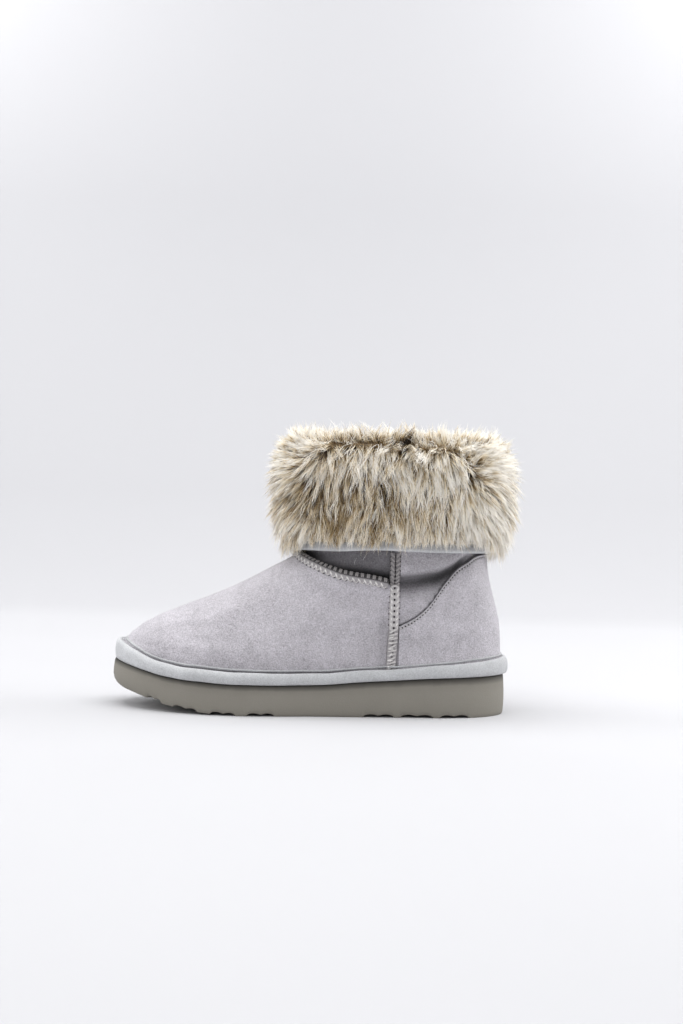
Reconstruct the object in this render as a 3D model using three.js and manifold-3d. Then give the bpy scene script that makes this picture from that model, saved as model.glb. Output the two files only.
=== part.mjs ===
// A lined winter boot for the left foot: hollow upper, heel counter, raised seams, covered rand,
// foam outsole, insole, and a shaft turned down into a cuff of long pile with a bound edge.
// Millimetres. X runs from heel to toe, Y to the wearer's left (the outer side) and Z up.
// The origin is on the floor, under the middle of the outsole.

import * as THREE from "three";
import { mergeVertices } from "three/addons/utils/BufferGeometryUtils.js";
import Module from "manifold-3d";

const wasm = await Module();
wasm.setup();

// Outsole
const soleLength = 270;
const ballWidth = 100;
const heelThickness = 27.5;
const ballThickness = 20.2;
const toeTopRise = 11.3; // the outsole's top at the toe, above its top at the ball
const toeSpring = 14; // the outsole's underside at the toe, above the floor
const sideTuck = 1.2; // how far the underside's edge and the top edge lie inside the widest line
const toeTuck = 7.5; // the same at the toe, where the underside is well rounded
const treadDepth = 2;
const zigzagLength = 40; // of a channel's run across the sole
const zigzagWidth = 7;

// Upper
const wall = 3;
const featherInset = 5; // the upper's lower edge, inside the outsole's outline
const heelBulge = 10.4; // how far the heel stands out behind the shaft
const shaftLength = 130; // front to back
const shaftWidth = 94;
const instepHeight = 106.5; // floor to the bend between vamp and shaft
const collarHeight = 178; // floor to the rim that the cuff is folded over

// Rand, the covered strip round the upper's foot
const randHeight = 7.5;
const randHeelExtra = 4;
const randToeExtra = 6.5;
const randOverhang = 2.3; // beyond the outsole's outline

// Insole
const insoleThickness = 6;

// Overlays and raised seams
const counterThickness = 1.5;
const seamThickness = 1.8;
const sideSeamWidth = 8.5;
const sideSeamSetback = 65.5; // from the shaft's front to the middle of the side seam
const vampSeamWidth = 5;

// Cuff
const cuffBottom = 116; // floor to the pile's lower edge
const pileDepth = 14; // the dense part of the pile
const pileInside = 6; // the same on the inner side of the fold
const insideDrop = 22; // how far the pile reaches down inside the collar
const foldRise = 8; // the fold's crest above the collar
const lockWidth = 18;
const droop = 0.12; // how much a lock turns down towards its tip, as a share of its lean
const locksAround = 16;
const bindingHeight = 6;
const bindingThickness = 4.5;

const gap = 0.3; // between pieces that lie against each other
const columns = 40; // round the boot
const footRows = 12;
const shaftRows = 5;

// The outsole's side profile. heel, toe and under are shares of the rise at the heel, of
// toeTopRise and of toeSpring. tuck is the share of toeTuck.
const soleTable = [
  { station: 0, heel: 1, toe: 0, under: 0, tuck: 0 },
  { station: 0.13, heel: 0.89, toe: 0, under: 0, tuck: 0 },
  { station: 0.28, heel: 0.59, toe: 0, under: 0, tuck: 0 },
  { station: 0.38, heel: 0.35, toe: 0, under: 0, tuck: 0 },
  { station: 0.5, heel: 0.05, toe: 0, under: 0, tuck: 0 },
  { station: 0.65, heel: 0, toe: 0.01, under: 0, tuck: 0 },
  { station: 0.76, heel: 0, toe: 0.11, under: 0.1, tuck: 0 },
  { station: 0.84, heel: 0, toe: 0.27, under: 0.33, tuck: 0.05 },
  { station: 0.9, heel: 0, toe: 0.52, under: 0.6, tuck: 0.25 },
  { station: 0.96, heel: 0, toe: 0.82, under: 0.85, tuck: 0.62 },
  { station: 1, heel: 0, toe: 1, under: 1, tuck: 1 },
];

// The outsole's outline. half is the half width over the sine of the angle round the outline, and
// shift is how far its middle bends to the outer side, both as shares of ballWidth.
const planTable = [
  { station: 0, half: 0.62, shift: 0 },
  { station: 0.05, half: 0.6, shift: 0 },
  { station: 0.15, half: 0.53, shift: 0.003 },
  { station: 0.3, half: 0.435, shift: 0.018 },
  { station: 0.42, half: 0.415, shift: 0.032 },
  { station: 0.6, half: 0.48, shift: 0.035 },
  { station: 0.72, half: 0.552, shift: 0.012 },
  { station: 0.84, half: 0.605, shift: -0.022 },
  { station: 0.93, half: 0.64, shift: -0.042 },
  { station: 1, half: 0.66, shift: -0.05 },
];

// The channels across the tread, from the outsole's middle and as wide as shares of soleLength.
const treadTable = [
  { at: -0.372, width: 0.064 },
  { at: -0.283, width: 0.077 },
  { at: -0.189, width: 0.075 },
  { at: 0.11, width: 0.068 },
  { at: 0.202, width: 0.058 },
  { at: 0.289, width: 0.053 },
  { at: 0.37, width: 0.046 },
];

// The rand's extra height at the heel and the toe, and its overhang, as shares of those sizes.
const randTable = [
  { station: 0, heel: 1, toe: 0, overhang: 1 },
  { station: 0.09, heel: 0.5, toe: 0, overhang: 0.95 },
  { station: 0.18, heel: 0.15, toe: 0, overhang: 0.9 },
  { station: 0.3, heel: 0, toe: 0, overhang: 0.9 },
  { station: 0.78, heel: 0, toe: 0.08, overhang: 0.9 },
  { station: 0.88, heel: 0, toe: 0.18, overhang: 0.5 },
  { station: 0.95, heel: 0, toe: 0.6, overhang: -0.1 },
  { station: 1, heel: 0, toe: 1, overhang: -0.4 },
];

// The upper, a row for each section. level is 0 at the lower edge, 1 at the instep and 2 at the
// collar. front runs from 0 at the shaft to 1 at the toe, and back from 0 at the shaft to 1 at the
// heel's furthest point. The rest are half widths over the sine of the angle round the section, at
// the stations of acrossStations, as shares of a width that goes from ballWidth to shaftWidth.
const upperTable = [
  { level: 0, front: 1, back: 0.91, across: [0.56, 0.467, 0.372, 0.455, 0.545, 0.6] },
  { level: 0.12, front: 0.995, back: 0.98, across: [0.56, 0.474, 0.388, 0.462, 0.548, 0.6] },
  { level: 0.2, front: 0.965, back: 1, across: [0.56, 0.481, 0.4, 0.464, 0.547, 0.585] },
  { level: 0.31, front: 0.905, back: 0.98, across: [0.558, 0.497, 0.41, 0.455, 0.525, 0.565] },
  { level: 0.41, front: 0.825, back: 0.93, across: [0.554, 0.51, 0.42, 0.441, 0.492, 0.53] },
  { level: 0.53, front: 0.685, back: 0.79, across: [0.55, 0.512, 0.43, 0.426, 0.452, 0.47] },
  { level: 0.65, front: 0.49, back: 0.6, across: [0.541, 0.512, 0.442, 0.42, 0.425, 0.416] },
  { level: 0.76, front: 0.32, back: 0.42, across: [0.535, 0.51, 0.453, 0.432, 0.42, 0.395] },
  { level: 0.87, front: 0.17, back: 0.26, across: [0.527, 0.508, 0.464, 0.454, 0.43, 0.395] },
  { level: 0.97, front: 0.035, back: 0.13, across: [0.515, 0.505, 0.48, 0.475, 0.455, 0.44] },
  { level: 1, front: 0, back: 0.1, across: [0.51, 0.505, 0.484, 0.48, 0.47, 0.46] },
  { level: 1.2, front: 0, back: 0, across: [0.505, 0.5, 0.492, 0.492, 0.49, 0.49] },
  { level: 2, front: 0.01, back: 0, across: [0.51, 0.505, 0.5, 0.5, 0.505, 0.51] },
];
const acrossStations = [0, 0.15, 0.4, 0.65, 0.85, 1];

// The heel counter's top edge and the vamp's seam, seen from the side. along is the share of the
// way from the side seam to the back or the front of the shaft, and up the share of instepHeight.
const counterTable = [
  { along: 0, up: 0.575 },
  { along: 0.24, up: 0.665 },
  { along: 0.5, up: 0.855 },
  { along: 0.74, up: 0.975 },
  { along: 0.92, up: 1.025 },
  { along: 1.1, up: 1.04 },
];
const vampSeamTable = [
  { along: 0, up: 0.832 },
  { along: 0.2, up: 0.856 },
  { along: 0.4, up: 0.871 },
  { along: 0.62, up: 0.9 },
  { along: 0.8, up: 0.936 },
  { along: 0.92, up: 0.966 },
  { along: 1.04, up: 1.002 },
];

// The locks of the pile, a row for each ring of them. up is the share of the way from the pile's
// lower edge to the collar, out the root's place outside the shaft in pileDepths, lean the angle
// from straight down, past 180 for those over the opening, and length in lockWidths.
const lockTable = [
  { up: 0.2, out: 0.35, lean: 18, length: 1.35 },
  { up: 0.44, out: 0.35, lean: 27, length: 1.7 },
  { up: 0.7, out: 0.35, lean: 32, length: 1.8 },
  { up: 0.93, out: 0.35, lean: 50, length: 1.6 },
  { up: 0.98, out: 0.35, lean: 158, length: 1.2 },
  { up: 1.06, out: -0.15, lean: 262, length: 0.65 },
];

const toeFeather = soleLength / 2 - featherInset - gap;
const heelFeather = -soleLength / 2 + featherInset - wall / 2;
const shaftBack = heelFeather + heelBulge;
const shaftFront = shaftBack + shaftLength;
const seamX = shaftFront - sideSeamSetback;
const restLevel = 0.9; // from this level up the sections are horizontal

const mix = (a, b, t) => a + (b - a) * t;
const clamp = (t) => Math.min(1, Math.max(0, t));
const smooth = (t) => clamp(t) ** 2 * (3 - 2 * clamp(t));

// A smooth curve through values at rising places, without overshoot.
function curve(places, values) {
  const slope = values.slice(1).map((v, i) => (v - values[i]) / (places[i + 1] - places[i]));
  const tangent = values.map((v, i) => {
    const before = slope[i - 1] ?? slope[i];
    const after = slope[i] ?? before;
    return before * after <= 0 ? 0 : (2 * before * after) / (before + after);
  });
  return (at) => {
    const t = Math.min(places.at(-1), Math.max(places[0], at));
    const i = Math.max(0, places.findIndex((p, k) => k > 0 && t <= p) - 1);
    const step = places[i + 1] - places[i];
    const u = (t - places[i]) / step;
    const a = values[i] + tangent[i] * step * u;
    const b = values[i + 1] - tangent[i + 1] * step * (1 - u);
    return mix(a, b, smooth(u));
  };
}

const column = (table, place, key) => curve(table.map((row) => row[place]), table.map((row) => row[key]));

const station = (x) => clamp(x / soleLength + 0.5);
const heelShare = column(soleTable, "station", "heel");
const toeShare = column(soleTable, "station", "toe");
const underShare = column(soleTable, "station", "under");
const tuckShare = column(soleTable, "station", "tuck");
const planHalf = column(planTable, "station", "half");
const planShift = column(planTable, "station", "shift");

function soleTop(x) {
  const heelRise = (heelThickness - ballThickness) * heelShare(station(x));
  return ballThickness + heelRise + toeTopRise * toeShare(station(x));
}
const soleUnder = (x) => toeSpring * underShare(station(x));

// The outsole's outline at an angle, 0 at the toe and pi at the heel, moved outwards by out.
function outline(angle, out = 0) {
  const at = (a) => {
    const s = (1 + Math.cos(a)) / 2;
    const y = ballWidth * (planShift(s) + Math.sin(a) * planHalf(s));
    return new THREE.Vector3(soleLength * (s - 0.5), y, 0);
  };
  const along = at(angle + 1e-3).sub(at(angle - 1e-3)).normalize();
  return at(angle).add(new THREE.Vector3(along.y, -along.x, 0).multiplyScalar(out));
}

const upperFront = column(upperTable, "level", "front");
const upperBack = column(upperTable, "level", "back");
const upperAcross = acrossStations.map((_, i) =>
  curve(upperTable.map((row) => row.level), upperTable.map((row) => row.across[i])));

function levelHeight(level) {
  if (level < 1) return mix(ballThickness + gap, instepHeight, level);
  return mix(instepHeight, collarHeight, level - 1);
}

// The half width over the sine of the angle, at a share s of a section's length.
const acrossAt = new Map();
function halfWidth(level, s) {
  if (!acrossAt.has(level)) acrossAt.set(level, curve(acrossStations, upperAcross.map((f) => f(level))));
  return acrossAt.get(level)(s) * mix(ballWidth, shaftWidth, clamp(level));
}

// The upper's outer surface.
function upperPoint(angle, level) {
  const s = (1 + Math.cos(angle)) / 2;
  const front = mix(shaftFront, toeFeather, upperFront(level));
  const back = mix(shaftBack, heelFeather, upperBack(level));
  const x = mix(back, front, s);
  const tilt = 1 - smooth(level / restLevel);
  const y = ballWidth * planShift(station(x)) * tilt + Math.sin(angle) * halfWidth(level, s);
  return new THREE.Vector3(x, y, levelHeight(level) + (soleTop(x) - ballThickness) * tilt);
}

// The same surface moved outwards by lift. A level skin moves only sideways, as at an edge.
function skin(angle, level, lift, sideways = false) {
  const low = Math.max(0, level - 2e-3);
  const high = Math.min(2, level + 2e-3);
  const round = upperPoint(angle + 1e-3, level).sub(upperPoint(angle - 1e-3, level));
  const up = upperPoint(angle, high).sub(upperPoint(angle, low));
  const out = round.cross(up);
  if (sideways) out.z = 0;
  return upperPoint(angle, level).add(out.normalize().multiplyScalar(lift));
}

// The level at which the upper's surface has a height, at an angle.
function levelAt(angle, z) {
  let [low, high] = [0, 2];
  for (let i = 0; i < 30; i++) {
    const middle = (low + high) / 2;
    if (upperPoint(angle, middle).z < z) low = middle;
    else high = middle;
  }
  return (low + high) / 2;
}

const angles = Array.from({ length: columns }, (_, i) => ((i + 0.5) * 2 * Math.PI) / columns);
const levels = [
  ...Array.from({ length: footRows }, (_, i) => i / footRows),
  ...Array.from({ length: shaftRows + 1 }, (_, i) => 1 + (i / shaftRows) ** 1.5),
];

// A solid through closed loops with as many points each. It is a closed band if ring is true, and
// else both ends are capped by joining each point to the one that mirrors it in its loop.
function loft(loops, ring = false) {
  const n = loops[0].length;
  const faces = [];
  const quad = (a, b, c, d) => faces.push(a, b, c, a, c, d);
  loops.forEach((_, i) => {
    if (!ring && i === loops.length - 1) return;
    const next = (i + 1) % loops.length;
    for (let k = 0; k < n; k++) {
      const m = (k + 1) % n;
      quad(i * n + k, i * n + m, next * n + m, next * n + k);
    }
  });
  if (!ring) {
    const last = (loops.length - 1) * n;
    for (let k = 0; k < n / 2 - 1; k++) {
      quad(n - 1 - k, n - 2 - k, k + 1, k);
      quad(last + k, last + k + 1, last + n - 2 - k, last + n - 1 - k);
    }
  }
  return closed(loops.flat(), faces);
}

// A closed solid from points and triangles, turned so that its faces point outwards.
function closed(points, faces) {
  const geometry = new THREE.BufferGeometry().setFromPoints(points).setIndex(faces);
  const merged = mergeVertices(geometry, 1e-4);
  const position = merged.getAttribute("position");
  const kept = [];
  for (let i = 0; i < faces.length; i += 3) {
    const [a, b, c] = [0, 1, 2].map((k) => merged.index.getX(i + k));
    if (a !== b && b !== c && c !== a) kept.push(a, b, c);
  }
  const corner = (i) => new THREE.Vector3().fromBufferAttribute(position, kept[i]);
  let volume = 0;
  for (let i = 0; i < kept.length; i += 3) volume += corner(i).dot(corner(i + 1).cross(corner(i + 2)));
  if (volume < 0) kept.reverse();
  const made = {
    numProp: 3,
    vertProperties: new Float32Array(position.array),
    triVerts: new Uint32Array(kept),
  };
  return new wasm.Manifold(new wasm.Mesh(made));
}

// The filled form inside the upper's outer surface, moved outwards by lift. It ends a little below
// the upper, so that it cuts a piece all the way down.
function form(lift) {
  const foot = angles.map((a) => skin(a, 0, lift, true).sub(new THREE.Vector3(0, 0, wall)));
  return loft([foot, ...levels.map((level) => angles.map((a) => skin(a, level, lift, level % 2 === 0)))]);
}

// A plate as wide as the boot, whose outline is seen from the side.
function sidePlate(points) {
  const shape = new THREE.Shape(points);
  const geometry = new THREE.ExtrudeGeometry(shape, { depth: 2 * ballWidth, bevelEnabled: false });
  geometry.translate(0, 0, -ballWidth).rotateX(Math.PI / 2);
  const bare = mergeVertices(geometry.deleteAttribute("normal").deleteAttribute("uv"), 1e-4);
  const at = bare.getAttribute("position");
  const places = Array.from({ length: at.count }, (_, i) => new THREE.Vector3().fromBufferAttribute(at, i));
  return closed(places, [...bare.index.array]);
}

function outsole() {
  const ring = (inset, height) =>
    angles.map((a) => {
      const s = (1 + Math.cos(a)) / 2;
      const p = outline(a, -inset(s));
      return p.setZ(mix(soleUnder(p.x), soleTop(p.x), height));
    });
  const under = (s) => mix(sideTuck, toeTuck, tuckShare(s));
  return loft([
    ring(under, 0),
    ring((s) => 0.3 * under(s), 0.12),
    ring(() => 0, 0.35),
    ring((s) => 0.3 * sideTuck + 0.1 * under(s), 0.7),
    ring((s) => sideTuck + 0.15 * under(s), 1),
  ]);
}

// A channel across the tread, in a zigzag: two shallow arches with a low rib between them.
function channel(centre, width) {
  const arches = [
    [-0.5, 0.6], [-0.3, 1], [0, 0.55], [0.3, 1], [0.5, 0.6],
  ];
  const loops = Array.from({ length: 7 }, (_, i) => {
    const y = (i - 3) * (zigzagLength / 2);
    const middle = centre + (i % 2 ? 0.5 : -0.5) * zigzagWidth;
    const top = arches.map(([across, depth]) => {
      const x = middle + across * width;
      return new THREE.Vector3(x, y, soleUnder(x) + depth * treadDepth);
    });
    const below = arches.map(([across]) => new THREE.Vector3(middle + across * width, y, -toeSpring));
    return [...top, ...below.reverse()];
  });
  return loft(loops);
}

const treadedOutsole = () =>
  treadTable.reduce(
    (solid, { at, width }) => solid.subtract(channel(at * soleLength, width * soleLength)), outsole());

// The upper's wall, from its outer surface inwards.
function upper() {
  const edge = (level) => level === 0 || level === 2;
  const inner = levels.filter((level, i) => edge(level) || i % 2 === 0 || level >= 1).reverse();
  return loft(angles.map((a) => [
    ...levels.map((level) => skin(a, level, 0, edge(level))),
    ...inner.map((level) => skin(a, level, -wall, edge(level))),
  ]), true);
}

function insole() {
  const side = (height, inset) =>
    angles.map((a) => {
      const low = upperPoint(a, 0);
      const level = levelAt(a, low.z + height);
      const p = skin(a, level, -wall - gap - inset, true);
      return p.setZ(soleTop(p.x) + gap + height);
    });
  const crown = 1.5; // the rounding of its upper edge
  return loft([side(0, 0.5), side(insoleThickness - crown, 0), side(insoleThickness, crown)]);
}

// The rand's section, from the upper outwards. out is the share of the way from the upper to the
// rand's widest line, and up the share of its height.
const randSection = [
  { out: 0, up: 0 },
  { out: 0.72, up: 0 },
  { out: 0.94, up: 0.14 },
  { out: 1, up: 0.42 },
  { out: 0.92, up: 0.74 },
  { out: 0.66, up: 0.96 },
  { out: 0.3, up: 1.03 },
  { out: 0, up: 0.9 },
  { out: 0, up: 0.45 },
];
const randHeel = column(randTable, "station", "heel");
const randToe = column(randTable, "station", "toe");
const randReach = column(randTable, "station", "overhang");
const randHeightAt = (s) => randHeight + randHeelExtra * randHeel(s) + randToeExtra * randToe(s);

// The rand, at a distance from the upper and moved up by lift.
function rand(inside, lift = 0) {
  return loft(angles.map((a) => {
    const s = (1 + Math.cos(a)) / 2;
    const widest = outline(a, randOverhang * randReach(s));
    const low = upperPoint(a, 0).z;
    return randSection.map(({ out, up }) => {
      const rise = up * randHeightAt(s);
      const p = skin(a, levelAt(a, low + rise), inside, true);
      p.lerp(widest.setZ(p.z), out);
      return p.setZ(soleTop(p.x) + gap + rise + lift);
    });
  }), true);
}

const fromSide = (table) => column(table, "along", "up");

// What lies between two copies of the upper's surface, inside a plate seen from the side.
const overlay = (thickness, plate) => form(gap + thickness).subtract(form(gap)).intersect(plate);

function sideSeams() {
  const low = soleTop(seamX) + randHeight / 2;
  const half = sideSeamWidth / 2;
  const high = cuffBottom - bindingHeight / 2;
  const plate = sidePlate([
    new THREE.Vector2(seamX - half, low),
    new THREE.Vector2(seamX + half, low),
    new THREE.Vector2(seamX + half, high),
    new THREE.Vector2(seamX - half, high),
  ]);
  return overlay(seamThickness, plate).subtract(rand(0, gap)).subtract(binding(0, gap));
}

// The counter wraps the heel, from one side seam round to the other.
function counter() {
  const start = seamX - sideSeamWidth / 2 - gap;
  const height = fromSide(counterTable);
  const top = Array.from({ length: 9 }, (_, i) => {
    const along = (i / 8) * counterTable.at(-1).along;
    return new THREE.Vector2(mix(start, shaftBack, along), instepHeight * height(along));
  });
  const behind = -soleLength / 2 - randOverhang;
  const insideRand = [behind, mix(behind, start, 0.35), start].map(
    (x) => new THREE.Vector2(x, soleTop(x) + randHeightAt(station(x)) / 2));
  const plate = sidePlate([
    ...top,
    new THREE.Vector2(behind, instepHeight * height(1)),
    ...insideRand,
  ]);
  return overlay(counterThickness, plate).subtract(rand(0, gap)).subtract(binding(0, gap));
}

// The vamp's seam runs from one side seam over the instep to the other.
function vampSeam() {
  const start = seamX + sideSeamWidth / 2 + gap;
  const height = fromSide(vampSeamTable);
  const middle = Array.from({ length: 9 }, (_, i) => {
    const along = (i / 8) * vampSeamTable.at(-1).along;
    return new THREE.Vector2(mix(start, shaftFront, along), instepHeight * height(along));
  });
  const moved = (out) =>
    middle.map((p, i) => {
      const before = middle[Math.max(0, i - 1)];
      const after = middle[Math.min(middle.length - 1, i + 1)];
      const along = after.clone().sub(before).normalize();
      if (i === 0) along.set(1, 0);
      return new THREE.Vector2(p.x - out * along.y, p.y + out * along.x);
    });
  const half = vampSeamWidth / 2;
  return overlay(seamThickness, sidePlate([...moved(-half), ...moved(half).reverse()]));
}

// A point by the shaft, at a distance outside its outer surface and a height above the floor.
function byShaft(angle, out, z) {
  const level = levelAt(angle, Math.min(z, collarHeight));
  return skin(angle, level, out, true).setZ(z);
}

// The bound edge of the cuff, at a distance from the shaft, and reaching further down by extra.
function binding(inside, extra = 0) {
  const low = cuffBottom - gap - bindingHeight - extra;
  const section = [
    [inside, 0.25], [0.3 * bindingThickness, 0], [0.8 * bindingThickness, 0],
    [bindingThickness, 0.3], [0.95 * bindingThickness, 1], [inside, 1],
  ];
  const around = (a) => section.map(([out, up]) => byShaft(a, out, low + up * bindingHeight));
  return loft(angles.map(around), true);
}

// The dense pile: down the outside of the shaft, over the collar and a little way down inside.
function pileBody() {
  const span = collarHeight - cuffBottom;
  const outside = [
    [0.7, 0], [0.95, 0.15], [1, 0.5], [0.95, 0.85], [0.72, 1.06],
  ].map(([out, up]) => [out * pileDepth, cuffBottom + up * span]);
  const section = [
    ...outside,
    [0.2 * pileDepth, collarHeight + foldRise],
    [-wall, collarHeight + 0.9 * foldRise],
    [-wall - 0.8 * pileInside, collarHeight + 0.2 * foldRise],
    [-wall - pileInside, collarHeight - 0.5 * insideDrop],
    [-wall - 0.6 * pileInside, collarHeight - insideDrop],
    [-wall - gap, collarHeight - insideDrop],
    [-wall - gap, collarHeight + gap],
    [gap, collarHeight + gap],
    ...[0.3, 0.1, 0].map((up) => [gap, cuffBottom + up * span]),
  ];
  return loft(angles.map((a) => section.map(([out, z]) => byShaft(a, out, z))), true);
}

// A number from 0 to 1 that looks random but is the same each time.
function scatter(seed) {
  const s = Math.sin(seed * 127.1 + 11.7) * 43758.5453;
  return s - Math.floor(s);
}

// One lock: a three-sided horn that leaves the pile at an angle and droops towards its tip.
function lock(angle, out, z, lean, length) {
  const root = byShaft(angle, out * pileDepth, z);
  const outwards = byShaft(angle, pileDepth, z).sub(root).setZ(0).normalize();
  const across = new THREE.Vector3(-outwards.y, outwards.x, 0);
  const loops = [0, 0.5, 1].map((t) => {
    const turn = THREE.MathUtils.degToRad(lean * (1 - droop * t));
    const centre = root.clone().addScaledVector(outwards, t * length * Math.sin(turn));
    centre.z -= t * length * Math.cos(turn);
    const half = (lockWidth / 2) * (1 - 0.92 * t ** 1.5);
    const facing = outwards.clone().multiplyScalar(Math.cos(turn)).setZ(Math.sin(turn));
    facing.multiplyScalar(Math.sign(Math.cos(turn)));
    return [[-1, 0], [0, 0.75], [1, 0]].map(([side, lift]) =>
      centre.clone().addScaledVector(across, side * half).addScaledVector(facing, lift * half));
  });
  return loft(loops);
}

function pile() {
  const span = collarHeight - cuffBottom;
  const locks = lockTable.flatMap(({ up, out, lean, length }, row) =>
    Array.from({ length: locksAround }, (_, i) => {
      const seed = row * locksAround + i;
      const turn = i + 0.5 * (row % 2) + 0.4 * (scatter(seed) - 0.5);
      const height = cuffBottom + (up + 0.1 * (scatter(seed + 0.3) - 0.5)) * span;
      const long = length * lockWidth * (0.8 + 0.4 * scatter(seed + 0.6));
      return lock((turn * 2 * Math.PI) / locksAround, out, height, lean, long);
    }));
  return wasm.Manifold.union([pileBody(), ...locks]);
}

const suede = new THREE.MeshStandardMaterial({ color: 0xaaa5ab, roughness: 0.95, metalness: 0 });
const thread = new THREE.MeshStandardMaterial({ color: 0xaaa4a3, roughness: 0.85, metalness: 0 });
const trim = new THREE.MeshStandardMaterial({ color: 0xbcc1c4, roughness: 0.9, metalness: 0 });
const foam = new THREE.MeshStandardMaterial({ color: 0x84827a, roughness: 0.85, metalness: 0 });
const fur = new THREE.MeshStandardMaterial({ color: 0xb3a48f, roughness: 1, metalness: 0 });
const fleece = new THREE.MeshStandardMaterial({ color: 0xc9bfae, roughness: 1, metalness: 0 });

const boot = new THREE.Group();

function add(name, solid, material) {
  const { vertProperties, triVerts } = solid.getMesh();
  const geometry = new THREE.BufferGeometry();
  geometry.setAttribute("position", new THREE.BufferAttribute(vertProperties, 3));
  geometry.setIndex(new THREE.BufferAttribute(triVerts, 1));
  geometry.computeVertexNormals();
  const mesh = new THREE.Mesh(geometry, material);
  mesh.name = name;
  boot.add(mesh);
}

add("outsole", treadedOutsole(), foam);
add("rand", rand(gap), trim);
add("insole", insole(), fleece);
add("upper", upper(), suede);
add("counter", counter(), suede);
const [seamA, seamB] = sideSeams().decompose();
const outerFirst = seamA.boundingBox().max[1] > seamB.boundingBox().max[1];
add("side_seam_outer", outerFirst ? seamA : seamB, thread);
add("side_seam_inner", outerFirst ? seamB : seamA, thread);
add("vamp_seam", vampSeam(), thread);
add("cuff_binding", binding(gap), trim);
add("cuff_pile", pile(), fur);

export default boot;
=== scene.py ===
# A lined winter boot dressed for its picture: brushed suede with creases, thick thread on raised
# seams, a covered rand, a foam outsole, and a shaft folded down into a cuff of long pile.
# The boot's own sizes are in millimetres, as in its drawing, and size turns them into metres.

import math

import bpy
import numpy as np
from mathutils import Matrix, Vector
from mathutils.kdtree import KDTree


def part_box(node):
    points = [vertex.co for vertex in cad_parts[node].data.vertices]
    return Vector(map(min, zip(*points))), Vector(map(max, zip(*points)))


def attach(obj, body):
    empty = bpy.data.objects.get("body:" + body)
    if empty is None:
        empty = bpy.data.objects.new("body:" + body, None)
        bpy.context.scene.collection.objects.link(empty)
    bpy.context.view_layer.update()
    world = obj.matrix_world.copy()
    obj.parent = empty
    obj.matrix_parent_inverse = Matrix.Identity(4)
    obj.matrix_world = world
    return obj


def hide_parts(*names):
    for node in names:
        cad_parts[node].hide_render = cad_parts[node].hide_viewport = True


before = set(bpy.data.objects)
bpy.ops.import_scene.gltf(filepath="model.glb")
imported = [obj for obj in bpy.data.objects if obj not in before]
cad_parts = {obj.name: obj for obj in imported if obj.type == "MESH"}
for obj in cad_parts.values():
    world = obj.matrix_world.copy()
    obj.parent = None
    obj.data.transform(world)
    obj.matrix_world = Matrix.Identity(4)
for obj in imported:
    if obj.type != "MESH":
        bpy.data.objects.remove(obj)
scene = bpy.context.scene
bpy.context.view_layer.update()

# Camera: about a metre away on the outer side, near the floor, level, with a slight roll.
camera_data = bpy.data.cameras.new("camera")
camera_data.lens = 50
camera_data.sensor_width = 36
camera_data.clip_start = 0.05
camera = bpy.data.objects.new("camera", camera_data)
scene.collection.objects.link(camera)
camera.rotation_mode = "QUATERNION"
level_view = Matrix.Rotation(math.pi, 4, "Z") @ Matrix.Rotation(math.pi / 2, 4, "X")
camera.matrix_world = (
    Matrix.Translation((-0.02015, 0.983, 0.1355)) @ level_view @ Matrix.Rotation(math.radians(1.4), 4, "Z")
)
scene.camera = camera

# Sizes of the boot
sole_low, sole_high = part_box("outsole")
size = (sole_high[0] - sole_low[0]) / 269.2
sole_length = 270
ball_width = 100
heel_thickness = 27.5
ball_thickness = 20.2
toe_top_rise = 11.3
toe_spring = 14
wall = 3
feather_inset = 5
heel_bulge = 10.4
shaft_length = 130
shaft_width = 94
instep_height = 106.5
collar_height = 178
rand_height = 7.5
rand_heel_extra = 4
rand_toe_extra = 6.5
rand_overhang = 2.3
insole_thickness = 6
side_seam_width = 8.5
side_seam_setback = 65.5
vamp_seam_width = 5
cuff_bottom = 116
binding_height = 6
binding_thickness = 4.5
gap = 0.3
tread_depth = 2
zigzag_length = 40
zigzag_width = 7

sole_stations = (0, 0.13, 0.28, 0.38, 0.5, 0.65, 0.76, 0.84, 0.9, 0.96, 1)
sole_heel = (1, 0.89, 0.59, 0.35, 0.05, 0, 0, 0, 0, 0, 0)
sole_toe = (0, 0, 0, 0, 0, 0.01, 0.11, 0.27, 0.52, 0.82, 1)
sole_under = (0, 0, 0, 0, 0, 0, 0.1, 0.33, 0.6, 0.85, 1)
sole_tuck = (0, 0, 0, 0, 0, 0, 0, 0.05, 0.25, 0.62, 1)
plan_stations = (0, 0.05, 0.15, 0.3, 0.42, 0.6, 0.72, 0.84, 0.93, 1)
plan_half = (0.62, 0.6, 0.53, 0.435, 0.415, 0.48, 0.552, 0.605, 0.64, 0.66)
plan_shift = (0, 0, 0.003, 0.018, 0.032, 0.035, 0.012, -0.022, -0.042, -0.05)
rand_stations = (0, 0.09, 0.18, 0.3, 0.78, 0.88, 0.95, 1)
rand_heel = (1, 0.5, 0.15, 0, 0, 0, 0, 0)
rand_toe = (0, 0, 0, 0, 0.08, 0.18, 0.6, 1)
rand_reach = (1, 0.95, 0.9, 0.9, 0.9, 0.5, -0.1, -0.4)
upper_levels = (0, 0.12, 0.2, 0.31, 0.41, 0.53, 0.65, 0.76, 0.87, 0.97, 1, 1.2, 2)
upper_front = (1, 0.995, 0.965, 0.905, 0.825, 0.685, 0.49, 0.32, 0.17, 0.035, 0, 0, 0.01)
upper_back = (0.91, 0.98, 1, 0.98, 0.93, 0.79, 0.6, 0.42, 0.26, 0.13, 0.1, 0, 0)
across_stations = (0, 0.15, 0.4, 0.65, 0.85, 1)
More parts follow.
